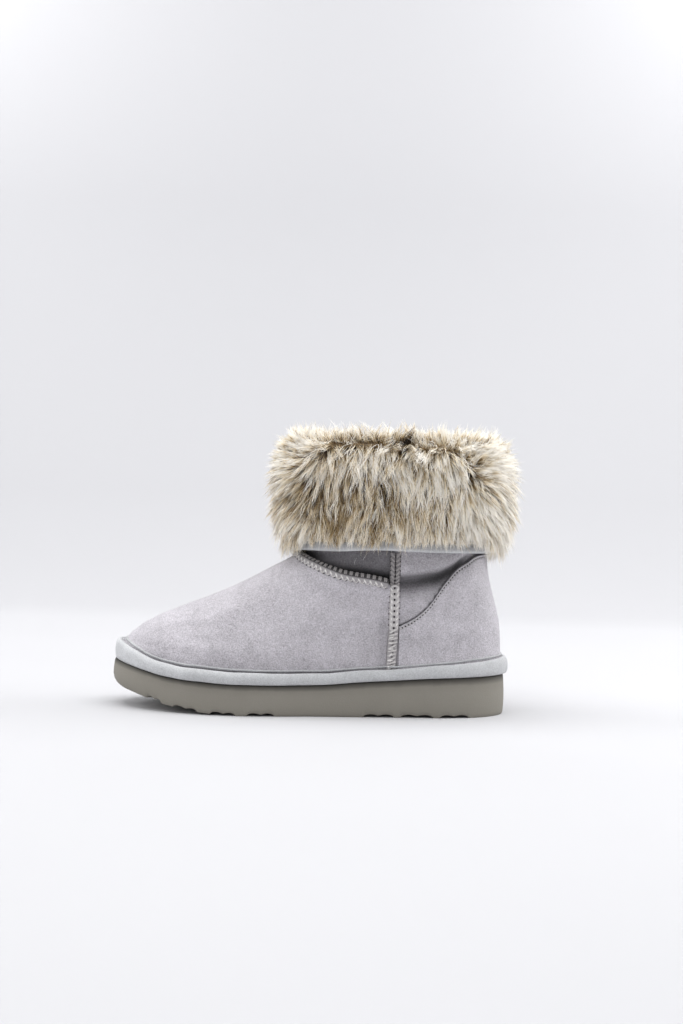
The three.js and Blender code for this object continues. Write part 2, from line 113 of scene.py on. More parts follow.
upper_across = np.array(
    [
        (0.56, 0.467, 0.372, 0.455, 0.545, 0.6),
        (0.56, 0.474, 0.388, 0.462, 0.548, 0.6),
        (0.56, 0.481, 0.4, 0.464, 0.547, 0.585),
        (0.558, 0.497, 0.41, 0.455, 0.525, 0.565),
        (0.554, 0.51, 0.42, 0.441, 0.492, 0.53),
        (0.55, 0.512, 0.43, 0.426, 0.452, 0.47),
        (0.541, 0.512, 0.442, 0.42, 0.425, 0.416),
        (0.535, 0.51, 0.453, 0.432, 0.42, 0.395),
        (0.527, 0.508, 0.464, 0.454, 0.43, 0.395),
        (0.515, 0.505, 0.48, 0.475, 0.455, 0.44),
        (0.51, 0.505, 0.484, 0.48, 0.47, 0.46),
        (0.505, 0.5, 0.492, 0.492, 0.49, 0.49),
        (0.51, 0.505, 0.5, 0.5, 0.505, 0.51),
    ]
)
counter_along = (0, 0.24, 0.5, 0.74, 0.92, 1.1)
counter_up = (0.575, 0.665, 0.855, 0.975, 1.025, 1.04)
vamp_along = (0, 0.2, 0.4, 0.62, 0.8, 0.92, 1.04)
vamp_up = (0.832, 0.856, 0.871, 0.9, 0.936, 0.966, 1.002)
crease_along = (0, 0.33, 0.56, 0.76, 1)
crease_up = (0.85, 0.879, 0.926, 1.008, 1.06)
tread = ((-0.372, 0.064), (-0.283, 0.077), (-0.189, 0.075), (0.11, 0.068), (0.202, 0.058), (0.289, 0.053))
tread += ((0.37, 0.046),)

toe_feather = sole_length / 2 - feather_inset - gap
heel_feather = -sole_length / 2 + feather_inset - wall / 2
shaft_back = heel_feather + heel_bulge
shaft_front = shaft_back + shaft_length
seam_x = shaft_front - side_seam_setback


def mix(a, b, t):
    return a + (b - a) * t


def smooth(t):
    t = np.clip(t, 0, 1)
    return t * t * (3 - 2 * t)


def bump(t):
    """A soft hill, 1 at 0 and all but gone at 2."""
    return np.exp(-t * t)


def curve(places, values, at):
    """A smooth curve through values at rising places. values may have a row for each of at."""
    places = np.asarray(places, float)
    values = np.asarray(values, float)
    slope = np.diff(values, axis=-1) / np.diff(places)
    before = np.concatenate([slope[..., :1], slope], -1)
    after = np.concatenate([slope, slope[..., -1:]], -1)
    total = np.where(before * after > 0, before + after, 1)
    tangent = np.where(before * after > 0, 2 * before * after / total, 0)
    at = np.clip(np.asarray(at, float), places[0], places[-1])
    i = np.clip(np.searchsorted(places, at) - 1, 0, len(places) - 2)
    step = places[i + 1] - places[i]
    u = (at - places[i]) / step

    def pick(rows, k):
        if rows.ndim == 1:
            return rows[k]
        return np.take_along_axis(rows, k[..., None], -1)[..., 0]

    a = pick(values, i) + pick(tangent, i) * step * u
    b = pick(values, i + 1) - pick(tangent, i + 1) * step * (1 - u)
    return mix(a, b, smooth(u))


def station(x):
    return np.clip(x / sole_length + 0.5, 0, 1)


def sole_top(x):
    s = station(x)
    heel = (heel_thickness - ball_thickness) * curve(sole_stations, sole_heel, s)
    return ball_thickness + heel + toe_top_rise * curve(sole_stations, sole_toe, s)


def sole_bottom(x):
    return toe_spring * curve(sole_stations, sole_under, station(x))


def unit(v):
    return v / np.maximum(np.linalg.norm(v, axis=-1, keepdims=True), 1e-9)


def outline(angle, out=0.0):
    """The outsole's outline, moved outwards by out."""

    def at(a):
        s = (1 + np.cos(a)) / 2
        y = curve(plan_stations, plan_shift, s) + np.sin(a) * curve(plan_stations, plan_half, s)
        return np.stack([sole_length * (s - 0.5), ball_width * y], -1)

    along = unit(at(angle + 1e-3) - at(angle - 1e-3))
    return at(angle) + np.stack([along[..., 1], -along[..., 0]], -1) * np.asarray(out)[..., None]


def level_height(level):
    low = mix(ball_thickness + gap, instep_height, level)
    return np.where(level < 1, low, mix(instep_height, collar_height, level - 1))


def tilt(level):
    return 1 - smooth(level / 0.9)


def ends(level):
    """Where a section of the upper has its back and its front."""
    back = mix(shaft_back, heel_feather, curve(upper_levels, upper_back, level))
    return back, mix(shaft_front, toe_feather, curve(upper_levels, upper_front, level))


def upper_point(angle, level):
    angle, level = np.broadcast_arrays(np.asarray(angle, float), np.asarray(level, float))
    s = (1 + np.cos(angle)) / 2
    back, front = ends(level)
    x = mix(back, front, s)
    across = np.stack([curve(upper_levels, column, level) for column in upper_across.T], -1)
    half = curve(across_stations, across, s) * mix(ball_width, shaft_width, np.clip(level, 0, 1))
    y = ball_width * curve(plan_stations, plan_shift, station(x)) * tilt(level) + np.sin(angle) * half
    z = level_height(level) + (sole_top(x) - ball_thickness) * tilt(level)
    return np.stack([x, y, z], -1)


def upper_normal(angle, level):
    low = np.clip(level - 2e-3, 0, 2)
    high = np.clip(level + 2e-3, 0, 2)
    around = upper_point(angle + 1e-3, level) - upper_point(angle - 1e-3, level)
    return unit(np.cross(around, upper_point(angle, high) - upper_point(angle, low)))


def level_at(x, z):
    """The level at which the upper's surface has a height, at a place along the boot."""
    x, z = np.broadcast_arrays(np.asarray(x, float), np.asarray(z, float))
    low, high = np.zeros(x.shape), np.full(x.shape, 2.0)
    for _ in range(30):
        middle = (low + high) / 2
        under = level_height(middle) + (sole_top(x) - ball_thickness) * tilt(middle) < z
        low, high = np.where(under, middle, low), np.where(under, high, middle)
    return (low + high) / 2


def angle_at(x, level):
    """The angle, on the outer side, at which a section passes a place along the boot."""
    back, front = ends(level)
    return np.arccos(np.clip(2 * (x - back) / (front - back) - 1, -1, 1))


def vamp_seam_z(x):
    start = seam_x + side_seam_width / 2 + gap
    return instep_height * curve(vamp_along, vamp_up, (x - start) / (shaft_front - start))


def counter_z(x):
    start = seam_x - side_seam_width / 2 - gap
    return instep_height * curve(counter_along, counter_up, (x - start) / (shaft_back - start))


def crease_z(x):
    return instep_height * curve(crease_along, crease_up, (seam_x - x) / (seam_x - shaft_back))


def waves(x, y, z, length, seed):
    """A soft irregular swell, about -1 to 1, with ridges about length apart."""
    k = 2 * math.pi / length
    rng = np.random.default_rng(seed)
    total = 0
    for _ in range(5):
        turn = unit(rng.normal(size=3)) * k * rng.uniform(0.6, 1.3)
        total = total + np.sin(turn[0] * x + turn[1] * y + turn[2] * z + rng.uniform(0, 6.3))
    return total / 2.6


def relief(p):
    """How far creases, folds and puckers move the suede outwards at points of the upper."""
    x, y, z = p[..., 0], p[..., 1], p[..., 2]
    ahead = smooth((x - seam_x - 1) / 3 + 0.5)
    over = z - vamp_seam_z(x)
    # The shaft is sewn on behind the vamp, deepest along the seam, and the vamp swells up to it.
    deep = ahead * smooth(over / 1.2 + 0.5) * smooth((shaft_front + 3 - x) / 7)
    out = -deep * (2.4 + 3.0 * bump(np.maximum(over, 0) / 6))
    out = out + ahead * bump((over + 7) / 5) * smooth((shaft_front + 10 - x) / 20)
    # The quarter hangs in a roll under the cuff, with a crease below it that opens downwards.
    behind = (1 - smooth((x - seam_x) / 3 + 0.5)) * smooth((x - shaft_back - 2) / 16)
    below = z - crease_z(x)
    trough = np.where(below > 0, bump(below / 2.8), bump(below / 9))
    out = out + behind * (1.6 * bump((below - 8) / 5.5) - 3.2 * trough)
    # The leather is pulled in beside the side seam, more on the vamp's side.
    beside = np.abs(x - seam_x)
    pulled = bump((beside - 6) / 3.5) * smooth((z - 34) / 12) * smooth((100 - z) / 12)
    out = out - mix(0.7, 1.3, ahead) * pulled
    # The heel is drawn in under the cuff, and a little above the rand.
    at_back = smooth((shaft_back + 18 - x) / 22) * smooth((z - 36) / 8) * smooth((118 - z) / 8)
    out = out - at_back * (1.2 + 1.5 * bump((z - 100) / 20))
    # Ripples where the lower edge is drawn in to the sole.
    edge = z - sole_top(x) - rand_height
    out = out + 0.28 * bump(edge / 7) * waves(x, y, z, 15, 3)
    # Slow unevenness of worn leather, and two shallow dents of the vamp's side.
    out = out + 0.45 * waves(x, y, z, 46, 11) * smooth(edge / 12)
    out = out - 0.7 * bump((x - 30) / 16) * bump((z - 62) / 9)
    return out - 0.6 * bump((x + 18) / 14) * bump((z - 55) / 13)


def shadow(p):
    """How much painted shade darkens the suede at points of the upper, 0 to 1."""
    x, z = p[..., 0], p[..., 2]
    ahead = smooth((x - seam_x - 1) / 3 + 0.5)
    over = z - vamp_seam_z(x)
    # Painted shade on the shaft above the vamp seam, deepest along the seam.
    near_seam = bump(np.maximum(over - 2.5, 0) / 5.0)
    tone = ahead * smooth(over / 1.5 + 0.5) * (0.66 + 0.29 * near_seam)
    # Painted shadow in the quarter's crease, softer by the side seam, and painted shade on the roll above it under
    # the cuff.
    below = z - crease_z(x)
    along = smooth((seam_x - x) / 34)
    under = 0.44 * bump(below / 13) + 0.5 * bump((below + 2.5) / 5.5)
    crease = mix(0.86, 1, along) * np.where(below > 0, 0.84 * bump(below / mix(3.8, 2.6, along)), under)
    tone = tone + (1 - ahead) * smooth((x - shaft_back - 6) / 16) * (crease + 0.16 * smooth(below / 3))
    # A painted shadow of the counter's edge on the quarter, broad under the cuff and fine by the seam.
    rise = z - counter_z(x)
    line = bump(np.maximum(rise, 0) / mix(0.6, 2.8, smooth((shaft_back + 41 - x) / 24))) * smooth((rise + 2) / 2)
    tone = np.maximum(tone, 0.86 * (1 - ahead) * line)
    # Painted shade: a dark line where the suede meets the rand, darker towards the toe, and a faint band over the
    # lowest suede.
    edge = z - sole_top(x) - gap - rand_height
    tone = tone + mix(0.12, 0.5, smooth((x + 50) / 40)) * bump((edge - 0.3) / 1.0)
    tone = tone + 0.1 * bump(edge / 9)
    # Painted shade in a band beside the side seam on the vamp's side, in its lower part.
    return tone + 0.16 * ahead * bump((x - seam_x - 7) / 3) * smooth((80 - z) / 20)


def turn_round(columns):
    """The angles of the columns of a loop round the boot."""
    return np.linspace(0, 2 * math.pi, columns, endpoint=False)


def at_height(xy, z):
    return np.concatenate([xy, z[:, None]], 1)


def spine(x, back, front):
    """Points of the plan's middle line, between two places along the boot."""
    x = np.clip(x, back, front)
    return np.stack([x, ball_width * curve(plan_stations, plan_shift, station(x))], -1)


def skin(angle, level, lift=0.0, sideways=False):
    """Points of the upper's creased surface, lifted off it, and the directions away from it."""
    p = upper_point(angle, level)
    n = upper_normal(angle, level)
    if sideways:
        n = unit(n * (1, 1, 0))
    return p + n * (np.asarray(lift) + relief(p))[..., None], n


# Meshes


def make(name, points, faces, material, uv=None, shades=None):
    """A piece from points in millimetres and faces with as many corners each."""
    faces = np.asarray(faces, np.int32)
    count, corners = faces.shape
    mesh = bpy.data.meshes.new(name)
    mesh.vertices.add(len(points))
    mesh.vertices.foreach_set("co", (np.asarray(points, float) * size).astype(np.float32).ravel())
    mesh.loops.add(count * corners)
    mesh.loops.foreach_set("vertex_index", faces.ravel())
    mesh.polygons.add(count)
    mesh.polygons.foreach_set("loop_start", np.arange(0, count * corners, corners, dtype=np.int32))
    if uv is not None:
        layer = mesh.uv_layers.new(name="strand")
        layer.uv.foreach_set("vector", np.asarray(uv, np.float32)[faces.ravel()].ravel())
    mesh.update(calc_edges=True)
    mesh.validate()
    if shades is not None:
        layer = mesh.attributes.new("shade", "FLOAT", "POINT")
        layer.data.foreach_set("value", np.asarray(shades, np.float32).ravel())
    mesh.shade_smooth()
    mesh.materials.append(material)
    piece = bpy.data.objects.new(name, mesh)
    scene.collection.objects.link(piece)
    return piece


def ring_faces(rows, columns, closed=True):
    """Quads between rows of points, each row a loop. closed joins the last row to the first."""
    r = np.arange(rows if closed else rows - 1)
    r, c = [a.ravel() for a in np.meshgrid(r, np.arange(columns), indexing="ij")]
    down, side = (r + 1) % rows, (c + 1) % columns
    return np.stack([r * columns + c, r * columns + side, down * columns + side, down * columns + c], -1)


def outwards(points, faces):
    """The faces, turned if need be so that those of a closed mesh point outwards."""
    a, b, c = (points[faces[:, i]] for i in (0, 1, 2))
    volume = (a * np.cross(b, c)).sum()
    if faces.shape[1] == 4:
        d = points[faces[:, 3]]
        volume += (a * np.cross(c, d)).sum()
    return faces if volume > 0 else faces[:, ::-1]


def lidded_faces(rows, columns):
    """Quads between rows of points, with the first and the last loop closed across their middle line."""
    k = np.arange(columns // 2)
    lid = np.stack([k, k + 1, columns - k - 1, (columns - k) % columns], -1)
    return np.concatenate([ring_faces(rows, columns, closed=False), lid, lid[:, ::-1] + (rows - 1) * columns])


def torus(name, rows, material, **more):
    """A closed band through rows of points, each a loop round the boot."""
    rows = np.asarray(rows)
    points = rows.reshape(-1, 3)
    return make(name, points, outwards(points, ring_faces(*rows.shape[:2])), material, **more)


def dress(piece, slot, *nodes):
    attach(piece, "root")
    if nodes:
        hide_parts(*nodes)
    return piece


# Materials


def group_of(name, inputs, outputs):
    """An empty shader node group with named sockets, and its input and output nodes."""
    tree = bpy.data.node_groups.new(name, "ShaderNodeTree")
    for label, kind, value in inputs:
        socket = tree.interface.new_socket(label, in_out="INPUT", socket_type=kind)
        socket.default_value = value
    for label, kind in outputs:
        tree.interface.new_socket(label, in_out="OUTPUT", socket_type=kind)
    return tree, tree.nodes.new("NodeGroupInput"), tree.nodes.new("NodeGroupOutput")


COLOUR, NUMBER, VECTOR = "NodeSocketColor", "NodeSocketFloat", "NodeSocketVector"


def node(tree, kind, sets=None, **inputs):
    """A node with properties from sets, and inputs by name or by number, as _0, each a value or an output."""
    made = tree.nodes.new(kind)
    for key, value in (sets or {}).items():
        setattr(made, key, value)
    for key, value in inputs.items():
        socket = made.inputs[int(key[1:]) if key[0] == "_" else key.replace("_", " ")]
        if isinstance(value, bpy.types.NodeSocket):
            tree.links.new(value, socket)
        else:
            socket.default_value = value
    return made


def maths(tree, operation, a, b=0.0, clamp=False):
    return node(tree, "ShaderNodeMath", {"operation": operation, "use_clamp": clamp}, _0=a, _1=b).outputs[0]


def blend_colours(tree, share, a, b, kind="MIX"):
    made = node(tree, "ShaderNodeMix", {"data_type": "RGBA", "blend_type": kind, "clamp_result": True})
    for i, value in ((0, share), (6, a), (7, b)):
        if isinstance(value, bpy.types.NodeSocket):
            tree.links.new(value, made.inputs[i])
        else:
            made.inputs[i].default_value = value
    return made.outputs[2]


def ramp(tree, value, stops):
    made = node(tree, "ShaderNodeValToRGB", None, Fac=value)
    elements = made.color_ramp.elements
    while len(elements) < len(stops):
        elements.new(0.5)
    for element, (at, colour) in zip(elements, stops):
        element.position = at
        element.color = (*colour, 1) if len(colour) == 3 else colour
    return made.outputs[0]


def build_nap():
    """Brushed nap: fine fibres, brushed patches and painted shade from the Shade input."""
    tree, source, sink = group_of(
        "brushed_nap",
        [
            ("Place", VECTOR, (0, 0, 0)),
            ("Colour", COLOUR, (0.5, 0.5, 0.5, 1)),
            ("Shade", NUMBER, 0),
            ("Fibre Size", NUMBER, 0.0005),
            ("Patch Strength", NUMBER, 0.12),
            ("Speckle Strength", NUMBER, 0.2),
        ],
        [("Colour", COLOUR), ("Roughness", NUMBER), ("Height", NUMBER)],
    )
    s = source.outputs
    fineness = maths(tree, "DIVIDE", 1.0, s["Fibre Size"])
    fibre = node(tree, "ShaderNodeTexNoise", None, Vector=s["Place"], Scale=fineness, Detail=3.0, Roughness=0.65)
    coarse = maths(tree, "MULTIPLY", fineness, 0.23)
    tuft = node(tree, "ShaderNodeTexNoise", None, Vector=s["Place"], Scale=coarse, Detail=4.0, Distortion=0.8)
    wide = maths(tree, "MULTIPLY", fineness, 0.035)
    patch = node(tree, "ShaderNodeTexNoise", None, Vector=s["Place"], Scale=wide, Detail=5.0, Distortion=1.2)
    speckle = maths(tree, "SUBTRACT", fibre.outputs[0], 0.5)
    speckle = maths(tree, "MULTIPLY", speckle, s["Speckle Strength"])
    mottle = maths(tree, "SUBTRACT", tuft.outputs[0], 0.5)
    mottle = maths(tree, "MULTIPLY", mottle, s["Patch Strength"])
    broad = maths(tree, "SUBTRACT", patch.outputs[0], 0.5)
    broad = maths(tree, "MULTIPLY", broad, s["Patch Strength"])
    lift = maths(tree, "ADD", maths(tree, "ADD", speckle, mottle), maths(tree, "MULTIPLY", broad, 2.0))
    light_left = maths(tree, "SUBTRACT", 1.0, s["Shade"], True)
    lift = maths(tree, "MULTIPLY", maths(tree, "ADD", lift, 1.0), light_left)
    value = node(tree, "ShaderNodeCombineColor", None, Red=lift, Green=lift, Blue=lift)
    colour = blend_colours(tree, 1.0, s["Colour"], value.outputs[0], "MULTIPLY")
    tree.links.new(colour, sink.inputs["Colour"])
    rough = maths(tree, "ADD", 0.86, maths(tree, "MULTIPLY", mottle, 0.6))
    tree.links.new(rough, sink.inputs["Roughness"])
    height = maths(tree, "ADD", fibre.outputs[0], maths(tree, "MULTIPLY", tuft.outputs[0], 1.5))
    tree.links.new(height, sink.inputs["Height"])
    return tree


def build_pebble():
    """Moulded foam skin: tiny pebbles, flow marks, dust in the low places and painted shade from the Shade input."""
    tree, source, sink = group_of(
        "pebbled_skin",
        [
            ("Place", VECTOR, (0, 0, 0)),
            ("Colour", COLOUR, (0.5, 0.5, 0.5, 1)),
            ("Shade", NUMBER, 0),
            ("Pebble Size", NUMBER, 0.0006),
            ("Dust", NUMBER, 0.15),
        ],
        [("Colour", COLOUR), ("Roughness", NUMBER), ("Height", NUMBER)],
    )
    s = source.outputs
    fineness = maths(tree, "DIVIDE", 1.0, s["Pebble Size"])
    cells = node(
        tree, "ShaderNodeTexVoronoi", {"feature": "SMOOTH_F1"}, Vector=s["Place"], Scale=fineness, Smoothness=0.6,
    )
    wide = maths(tree, "MULTIPLY", fineness, 0.03)
    flow = node(tree, "ShaderNodeTexNoise", None, Vector=s["Place"], Scale=wide, Detail=5.0, Distortion=0.5)
    grain = node(tree, "ShaderNodeTexNoise", None, Vector=s["Place"], Scale=fineness, Detail=2.0)
    amount = maths(tree, "MULTIPLY", maths(tree, "SUBTRACT", flow.outputs[0], 0.35), s["Dust"], True)
    dusty = blend_colours(tree, amount, s["Colour"], (0.62, 0.6, 0.56, 1))
    dark = maths(tree, "ADD", 0.93, maths(tree, "MULTIPLY", grain.outputs[0], 0.14))
    dark = maths(tree, "MULTIPLY", dark, maths(tree, "SUBTRACT", 1.0, s["Shade"], True))
    value = node(tree, "ShaderNodeCombineColor", None, Red=dark, Green=dark, Blue=dark)
    tree.links.new(blend_colours(tree, 1.0, dusty, value.outputs[0], "MULTIPLY"), sink.inputs["Colour"])
    rough = maths(tree, "ADD", 0.6, maths(tree, "MULTIPLY", flow.outputs[0], 0.25))
    tree.links.new(rough, sink.inputs["Roughness"])
    height = maths(tree, "SUBTRACT", 1.0, cells.outputs["Distance"])
    height = maths(tree, "ADD", height, maths(tree, "MULTIPLY", grain.outputs[0], 0.4))
    tree.links.new(height, sink.inputs["Height"])
    return tree


nap = build_nap()
pebble = build_pebble()


def material_of(name, group, values, bump_strength, bump_distance, shade=False, **shader):
    """A finish whose colour, roughness and relief come from a group with its own values."""
    made = bpy.data.materials.new(name)
    made.use_nodes = True
    tree = made.node_tree
    principled = tree.nodes["Principled BSDF"]
    place = node(tree, "ShaderNodeTexCoord").outputs["Object"]
    finish = node(tree, "ShaderNodeGroup", {"node_tree": group})
    tree.links.new(place, finish.inputs["Place"])
    for key, value in values.items():
        finish.inputs[key].default_value = value
    if shade:
        # The shade attribute brings the pieces' painted shade into the finish.
        fold = node(tree, "ShaderNodeAttribute", {"attribute_name": "shade"})
        tree.links.new(fold.outputs["Fac"], finish.inputs["Shade"])
    tree.links.new(finish.outputs["Colour"], principled.inputs["Base Color"])
    tree.links.new(finish.outputs["Roughness"], principled.inputs["Roughness"])
    relief_node = node(tree, "ShaderNodeBump", None, Strength=bump_strength, Distance=bump_distance)
    tree.links.new(finish.outputs["Height"], relief_node.inputs["Height"])
    tree.links.new(relief_node.outputs["Normal"], principled.inputs["Normal"])
    for key, value in shader.items():
        principled.inputs[key.replace("_", " ")].default_value = value
    return made


def nap_of(name, colour, fibre_size, patches, speckles, bump_strength, bump_distance, shade=False, **shader):
    """A brushed or spun finish."""
    values = {
        "Colour": (*colour, 1), "Fibre Size": fibre_size, "Patch Strength": patches, "Speckle Strength": speckles,
    }
    return material_of(name, nap, values, bump_strength, bump_distance, shade, **shader)


suede = nap_of(
    "brushed_suede", (0.53, 0.507, 0.54), 0.0009, 0.28, 1.6, 0.7, 0.0006, True,
    Sheen_Weight=0.25, Sheen_Roughness=0.45, Specular_IOR_Level=0.15,
)
trim = nap_of(
    "brushed_trim", (0.565, 0.573, 0.585), 0.0008, 0.2, 0.8, 0.5, 0.0003, True,
    Sheen_Weight=0.2, Sheen_Roughness=0.5, Specular_IOR_Level=0.15,
)
seam_suede = nap_of(
    "seam_suede", (0.5, 0.475, 0.485), 0.0004, 0.2, 0.5, 0.6, 0.0003, True, Specular_IOR_Level=0.15,
)
thread = nap_of(
    "seam_thread", (0.6, 0.577, 0.57), 0.0003, 0.15, 0.35, 0.5, 0.0002, Sheen_Weight=0.15, Specular_IOR_Level=0.3,
)
# A pale copy of the thread: painted highlight where the thread catches light, and also the pale lint's own colour.
pale_lint_and_painted_highlight_thread = nap_of(
    "pale_lint_and_painted_highlight_thread", (0.8, 0.78, 0.765), 0.0003, 0.12, 0.3, 0.5, 0.0002, Sheen_Weight=0.15, Specular_IOR_Level=0.4,
)
# A dark copy of the thread: painted shade for thread in the shadow of the cuff and of the vamp seam's top.
painted_shade_thread = nap_of(
    "painted_shade_thread", (0.36, 0.34, 0.335), 0.0003, 0.25, 0.6, 0.5, 0.0002, Sheen_Weight=0.1, Specular_IOR_Level=0.2,
)
# Near-black for painted shade in needle holes and in gaps between stitches.
painted_hole_shade = nap_of(
    "painted_hole_shade", (0.035, 0.03, 0.032), 0.0003, 0.1, 0.3, 0.3, 0.0002, Specular_IOR_Level=0.05,
)
fleece = nap_of(
    "fleece_lining", (0.62, 0.55, 0.46), 0.0011, 0.45, 0.5, 1.0, 0.0012, Sheen_Weight=0.4, Specular_IOR_Level=0.1,
)
foam = material_of(
    "moulded_foam", pebble,
    {"Colour": (0.26, 0.244, 0.21, 1), "Pebble Size": 0.0007, "Dust": 0.1},
    0.35, 0.0002, True, Specular_IOR_Level=0.3,
)


def pile_material(*stops):
    """Long pile: dark at the roots, pale at the tips, each strand with a tone of its own."""
    made = bpy.data.materials.new("long_pile")
    made.use_nodes = True
    tree = made.node_tree
    principled = tree.nodes["Principled BSDF"]
    strand = node(tree, "ShaderNodeUVMap", {"uv_map": "strand"})
    parts = node(tree, "ShaderNodeSeparateXYZ", None, Vector=strand.outputs[0])
    tone, along = parts.outputs["X"], parts.outputs["Y"]
    shifted = maths(tree, "ADD", along, maths(tree, "MULTIPLY", maths(tree, "SUBTRACT", tone, 0.5), 0.7), True)
    colour = ramp(tree, shifted, stops)
    tree.links.new(colour, principled.inputs["Base Color"])
    tree.links.new(maths(tree, "ADD", 0.42, maths(tree, "MULTIPLY", along, 0.2)), principled.inputs["Roughness"])
    principled.inputs["Specular IOR Level"].default_value = 0.24
    principled.inputs["Sheen Weight"].default_value = 0.12
    principled.inputs["Sheen Roughness"].default_value = 0.35
    return made


pile = pile_material(
    (0.0, (0.02, 0.012, 0.008)),
    (0.3, (0.115, 0.067, 0.028)),
    (0.5, (0.51, 0.37, 0.185)),
    (0.68, (0.93, 0.825, 0.63)),
    (1.0, (0.985, 0.95, 0.88)),
)

# Stitches, laid by Geometry Nodes on guide points


def stitch_tree():
    """Thread arcs over guide points, each turned along the seam and bent into the surface."""
    tree = bpy.data.node_groups.new("thread_stitches", "GeometryNodeTree")
    sockets = [
        ("Guide Points", "NodeSocketGeometry", None),
        ("Stitch Length", NUMBER, 0.003),
        ("Stitch Rise", NUMBER, 0.0008),
        ("Thread Radius", NUMBER, 0.0004),
        ("Turn", NUMBER, 0.0),
        ("Looseness", NUMBER, 0.12),
        ("Closed Loop", "NodeSocketBool", False),
        ("Thread", "NodeSocketMaterial", None),
    ]
    for label, kind, value in sockets:
        socket = tree.interface.new_socket(label, in_out="INPUT", socket_type=kind)
        if value is not None:
            socket.default_value = value
    tree.interface.new_socket("Stitches", in_out="OUTPUT", socket_type="NodeSocketGeometry")
    given = tree.nodes.new("NodeGroupInput").outputs
    half = maths(tree, "MULTIPLY", given["Stitch Length"], 0.5)
    minus = maths(tree, "MULTIPLY", half, -1.0)
    deep = maths(tree, "MULTIPLY", given["Stitch Rise"], -0.9)
    crest = maths(tree, "MULTIPLY", given["Stitch Rise"], 2.2)
    start = node(tree, "ShaderNodeCombineXYZ", None, X=minus, Z=deep).outputs[0]
    middle = node(tree, "ShaderNodeCombineXYZ", None, Z=crest).outputs[0]
    end = node(tree, "ShaderNodeCombineXYZ", None, X=half, Z=deep).outputs[0]
    arc = node(
        tree, "GeometryNodeCurveQuadraticBezier", None, Resolution=6, Start=start, Middle=middle, End=end,
    )
    ring = node(tree, "GeometryNodeCurvePrimitiveCircle", None, Resolution=14, Radius=half)
    raised = node(tree, "ShaderNodeCombineXYZ", None, Z=given["Stitch Rise"]).outputs[0]
    link = node(
        tree, "GeometryNodeTransform", None, Geometry=ring.outputs[0], Translation=raised, Scale=(1, 1.35, 1),
    )
    path = node(tree, "GeometryNodeSwitch", {"input_type": "GEOMETRY"}, Switch=given["Closed Loop"])
    tree.links.new(arc.outputs[0], path.inputs["False"])
    tree.links.new(link.outputs[0], path.inputs["True"])
    section = node(tree, "GeometryNodeCurvePrimitiveCircle", None, Resolution=6, Radius=given["Thread Radius"])
    solid = node(tree, "GeometryNodeCurveToMesh", None, Curve=path.outputs[0], Profile_Curve=section.outputs[0])
    solid.inputs["Fill Caps"].default_value = True
    vector = {"data_type": "FLOAT_VECTOR"}
    away = node(tree, "GeometryNodeInputNamedAttribute", vector, Name="away").outputs[0]
    along = node(tree, "GeometryNodeInputNamedAttribute", vector, Name="along").outputs[0]
    upright = node(tree, "FunctionNodeAlignRotationToVector", {"axis": "Z"}, Vector=away).outputs[0]
    aligned = node(
        tree, "FunctionNodeAlignRotationToVector", {"axis": "X", "pivot_axis": "Z"}, Rotation=upright, Vector=along,
    )
    low = maths(tree, "SUBTRACT", given["Turn"], given["Looseness"])
    high = maths(tree, "ADD", given["Turn"], given["Looseness"])
    chance = node(tree, "FunctionNodeRandomValue", {"data_type": "FLOAT"}, Seed=7)
    tree.links.new(low, chance.inputs[2])
    tree.links.new(high, chance.inputs[3])
    spin = node(tree, "ShaderNodeCombineXYZ", None, Z=chance.outputs[1]).outputs[0]
    turn = node(tree, "FunctionNodeEulerToRotation", None, Euler=spin).outputs[0]
    turned = node(
        tree, "FunctionNodeRotateRotation", {"rotation_space": "LOCAL"}, Rotation=aligned.outputs[0], Rotate_By=turn,
    )
    placed = node(
        tree, "GeometryNodeInstanceOnPoints", None,
        Points=given["Guide Points"], Instance=solid.outputs[0], Rotation=turned.outputs[0],
    )
    real = node(tree, "GeometryNodeRealizeInstances", None, Geometry=placed.outputs[0])
    rounded = node(tree, "GeometryNodeSetShadeSmooth", None, Geometry=real.outputs[0])
    finished = node(tree, "GeometryNodeSetMaterial", None, Geometry=rounded.outputs[0], Material=given["Thread"])
    sink = tree.nodes.new("NodeGroupOutput")
    tree.links.new(finished.outputs[0], sink.inputs[0])
    return tree


stitches = stitch_tree()


def sew(name, points, along, away, material, length, rise, radius, turn=0.0, looseness=0.1, closed=False):
    """A piece of thread stitches at points in millimetres."""
    mesh = bpy.data.meshes.new(name + "_guide")
    mesh.from_pydata((np.asarray(points) * size).tolist(), [], [])
    for label, values in (("along", along), ("away", away)):
        layer = mesh.attributes.new(label, "FLOAT_VECTOR", "POINT")
        layer.data.foreach_set("vector", np.asarray(values, np.float32).ravel())
    guide = bpy.data.objects.new(name + "_guide", mesh)
    scene.collection.objects.link(guide)
    modifier = guide.modifiers.new("stitches", "NODES")
    modifier.node_group = stitches
    values = {
        "Stitch Length": length * size, "Stitch Rise": rise * size, "Thread Radius": radius * size,
        "Turn": turn, "Looseness": looseness, "Closed Loop": closed, "Thread": material,
    }
    for item in stitches.interface.items_tree:
        if item.in_out == "INPUT" and item.name in values:
            modifier[item.identifier] = values[item.name]
    seen = guide.evaluated_get(bpy.context.evaluated_depsgraph_get())
    made = bpy.data.meshes.new_from_object(seen)
    made.name = name
    piece = bpy.data.objects.new(name, made)
    scene.collection.objects.link(piece)
    bpy.data.objects.remove(guide)
    return piece


# The upper, its lining and its panels


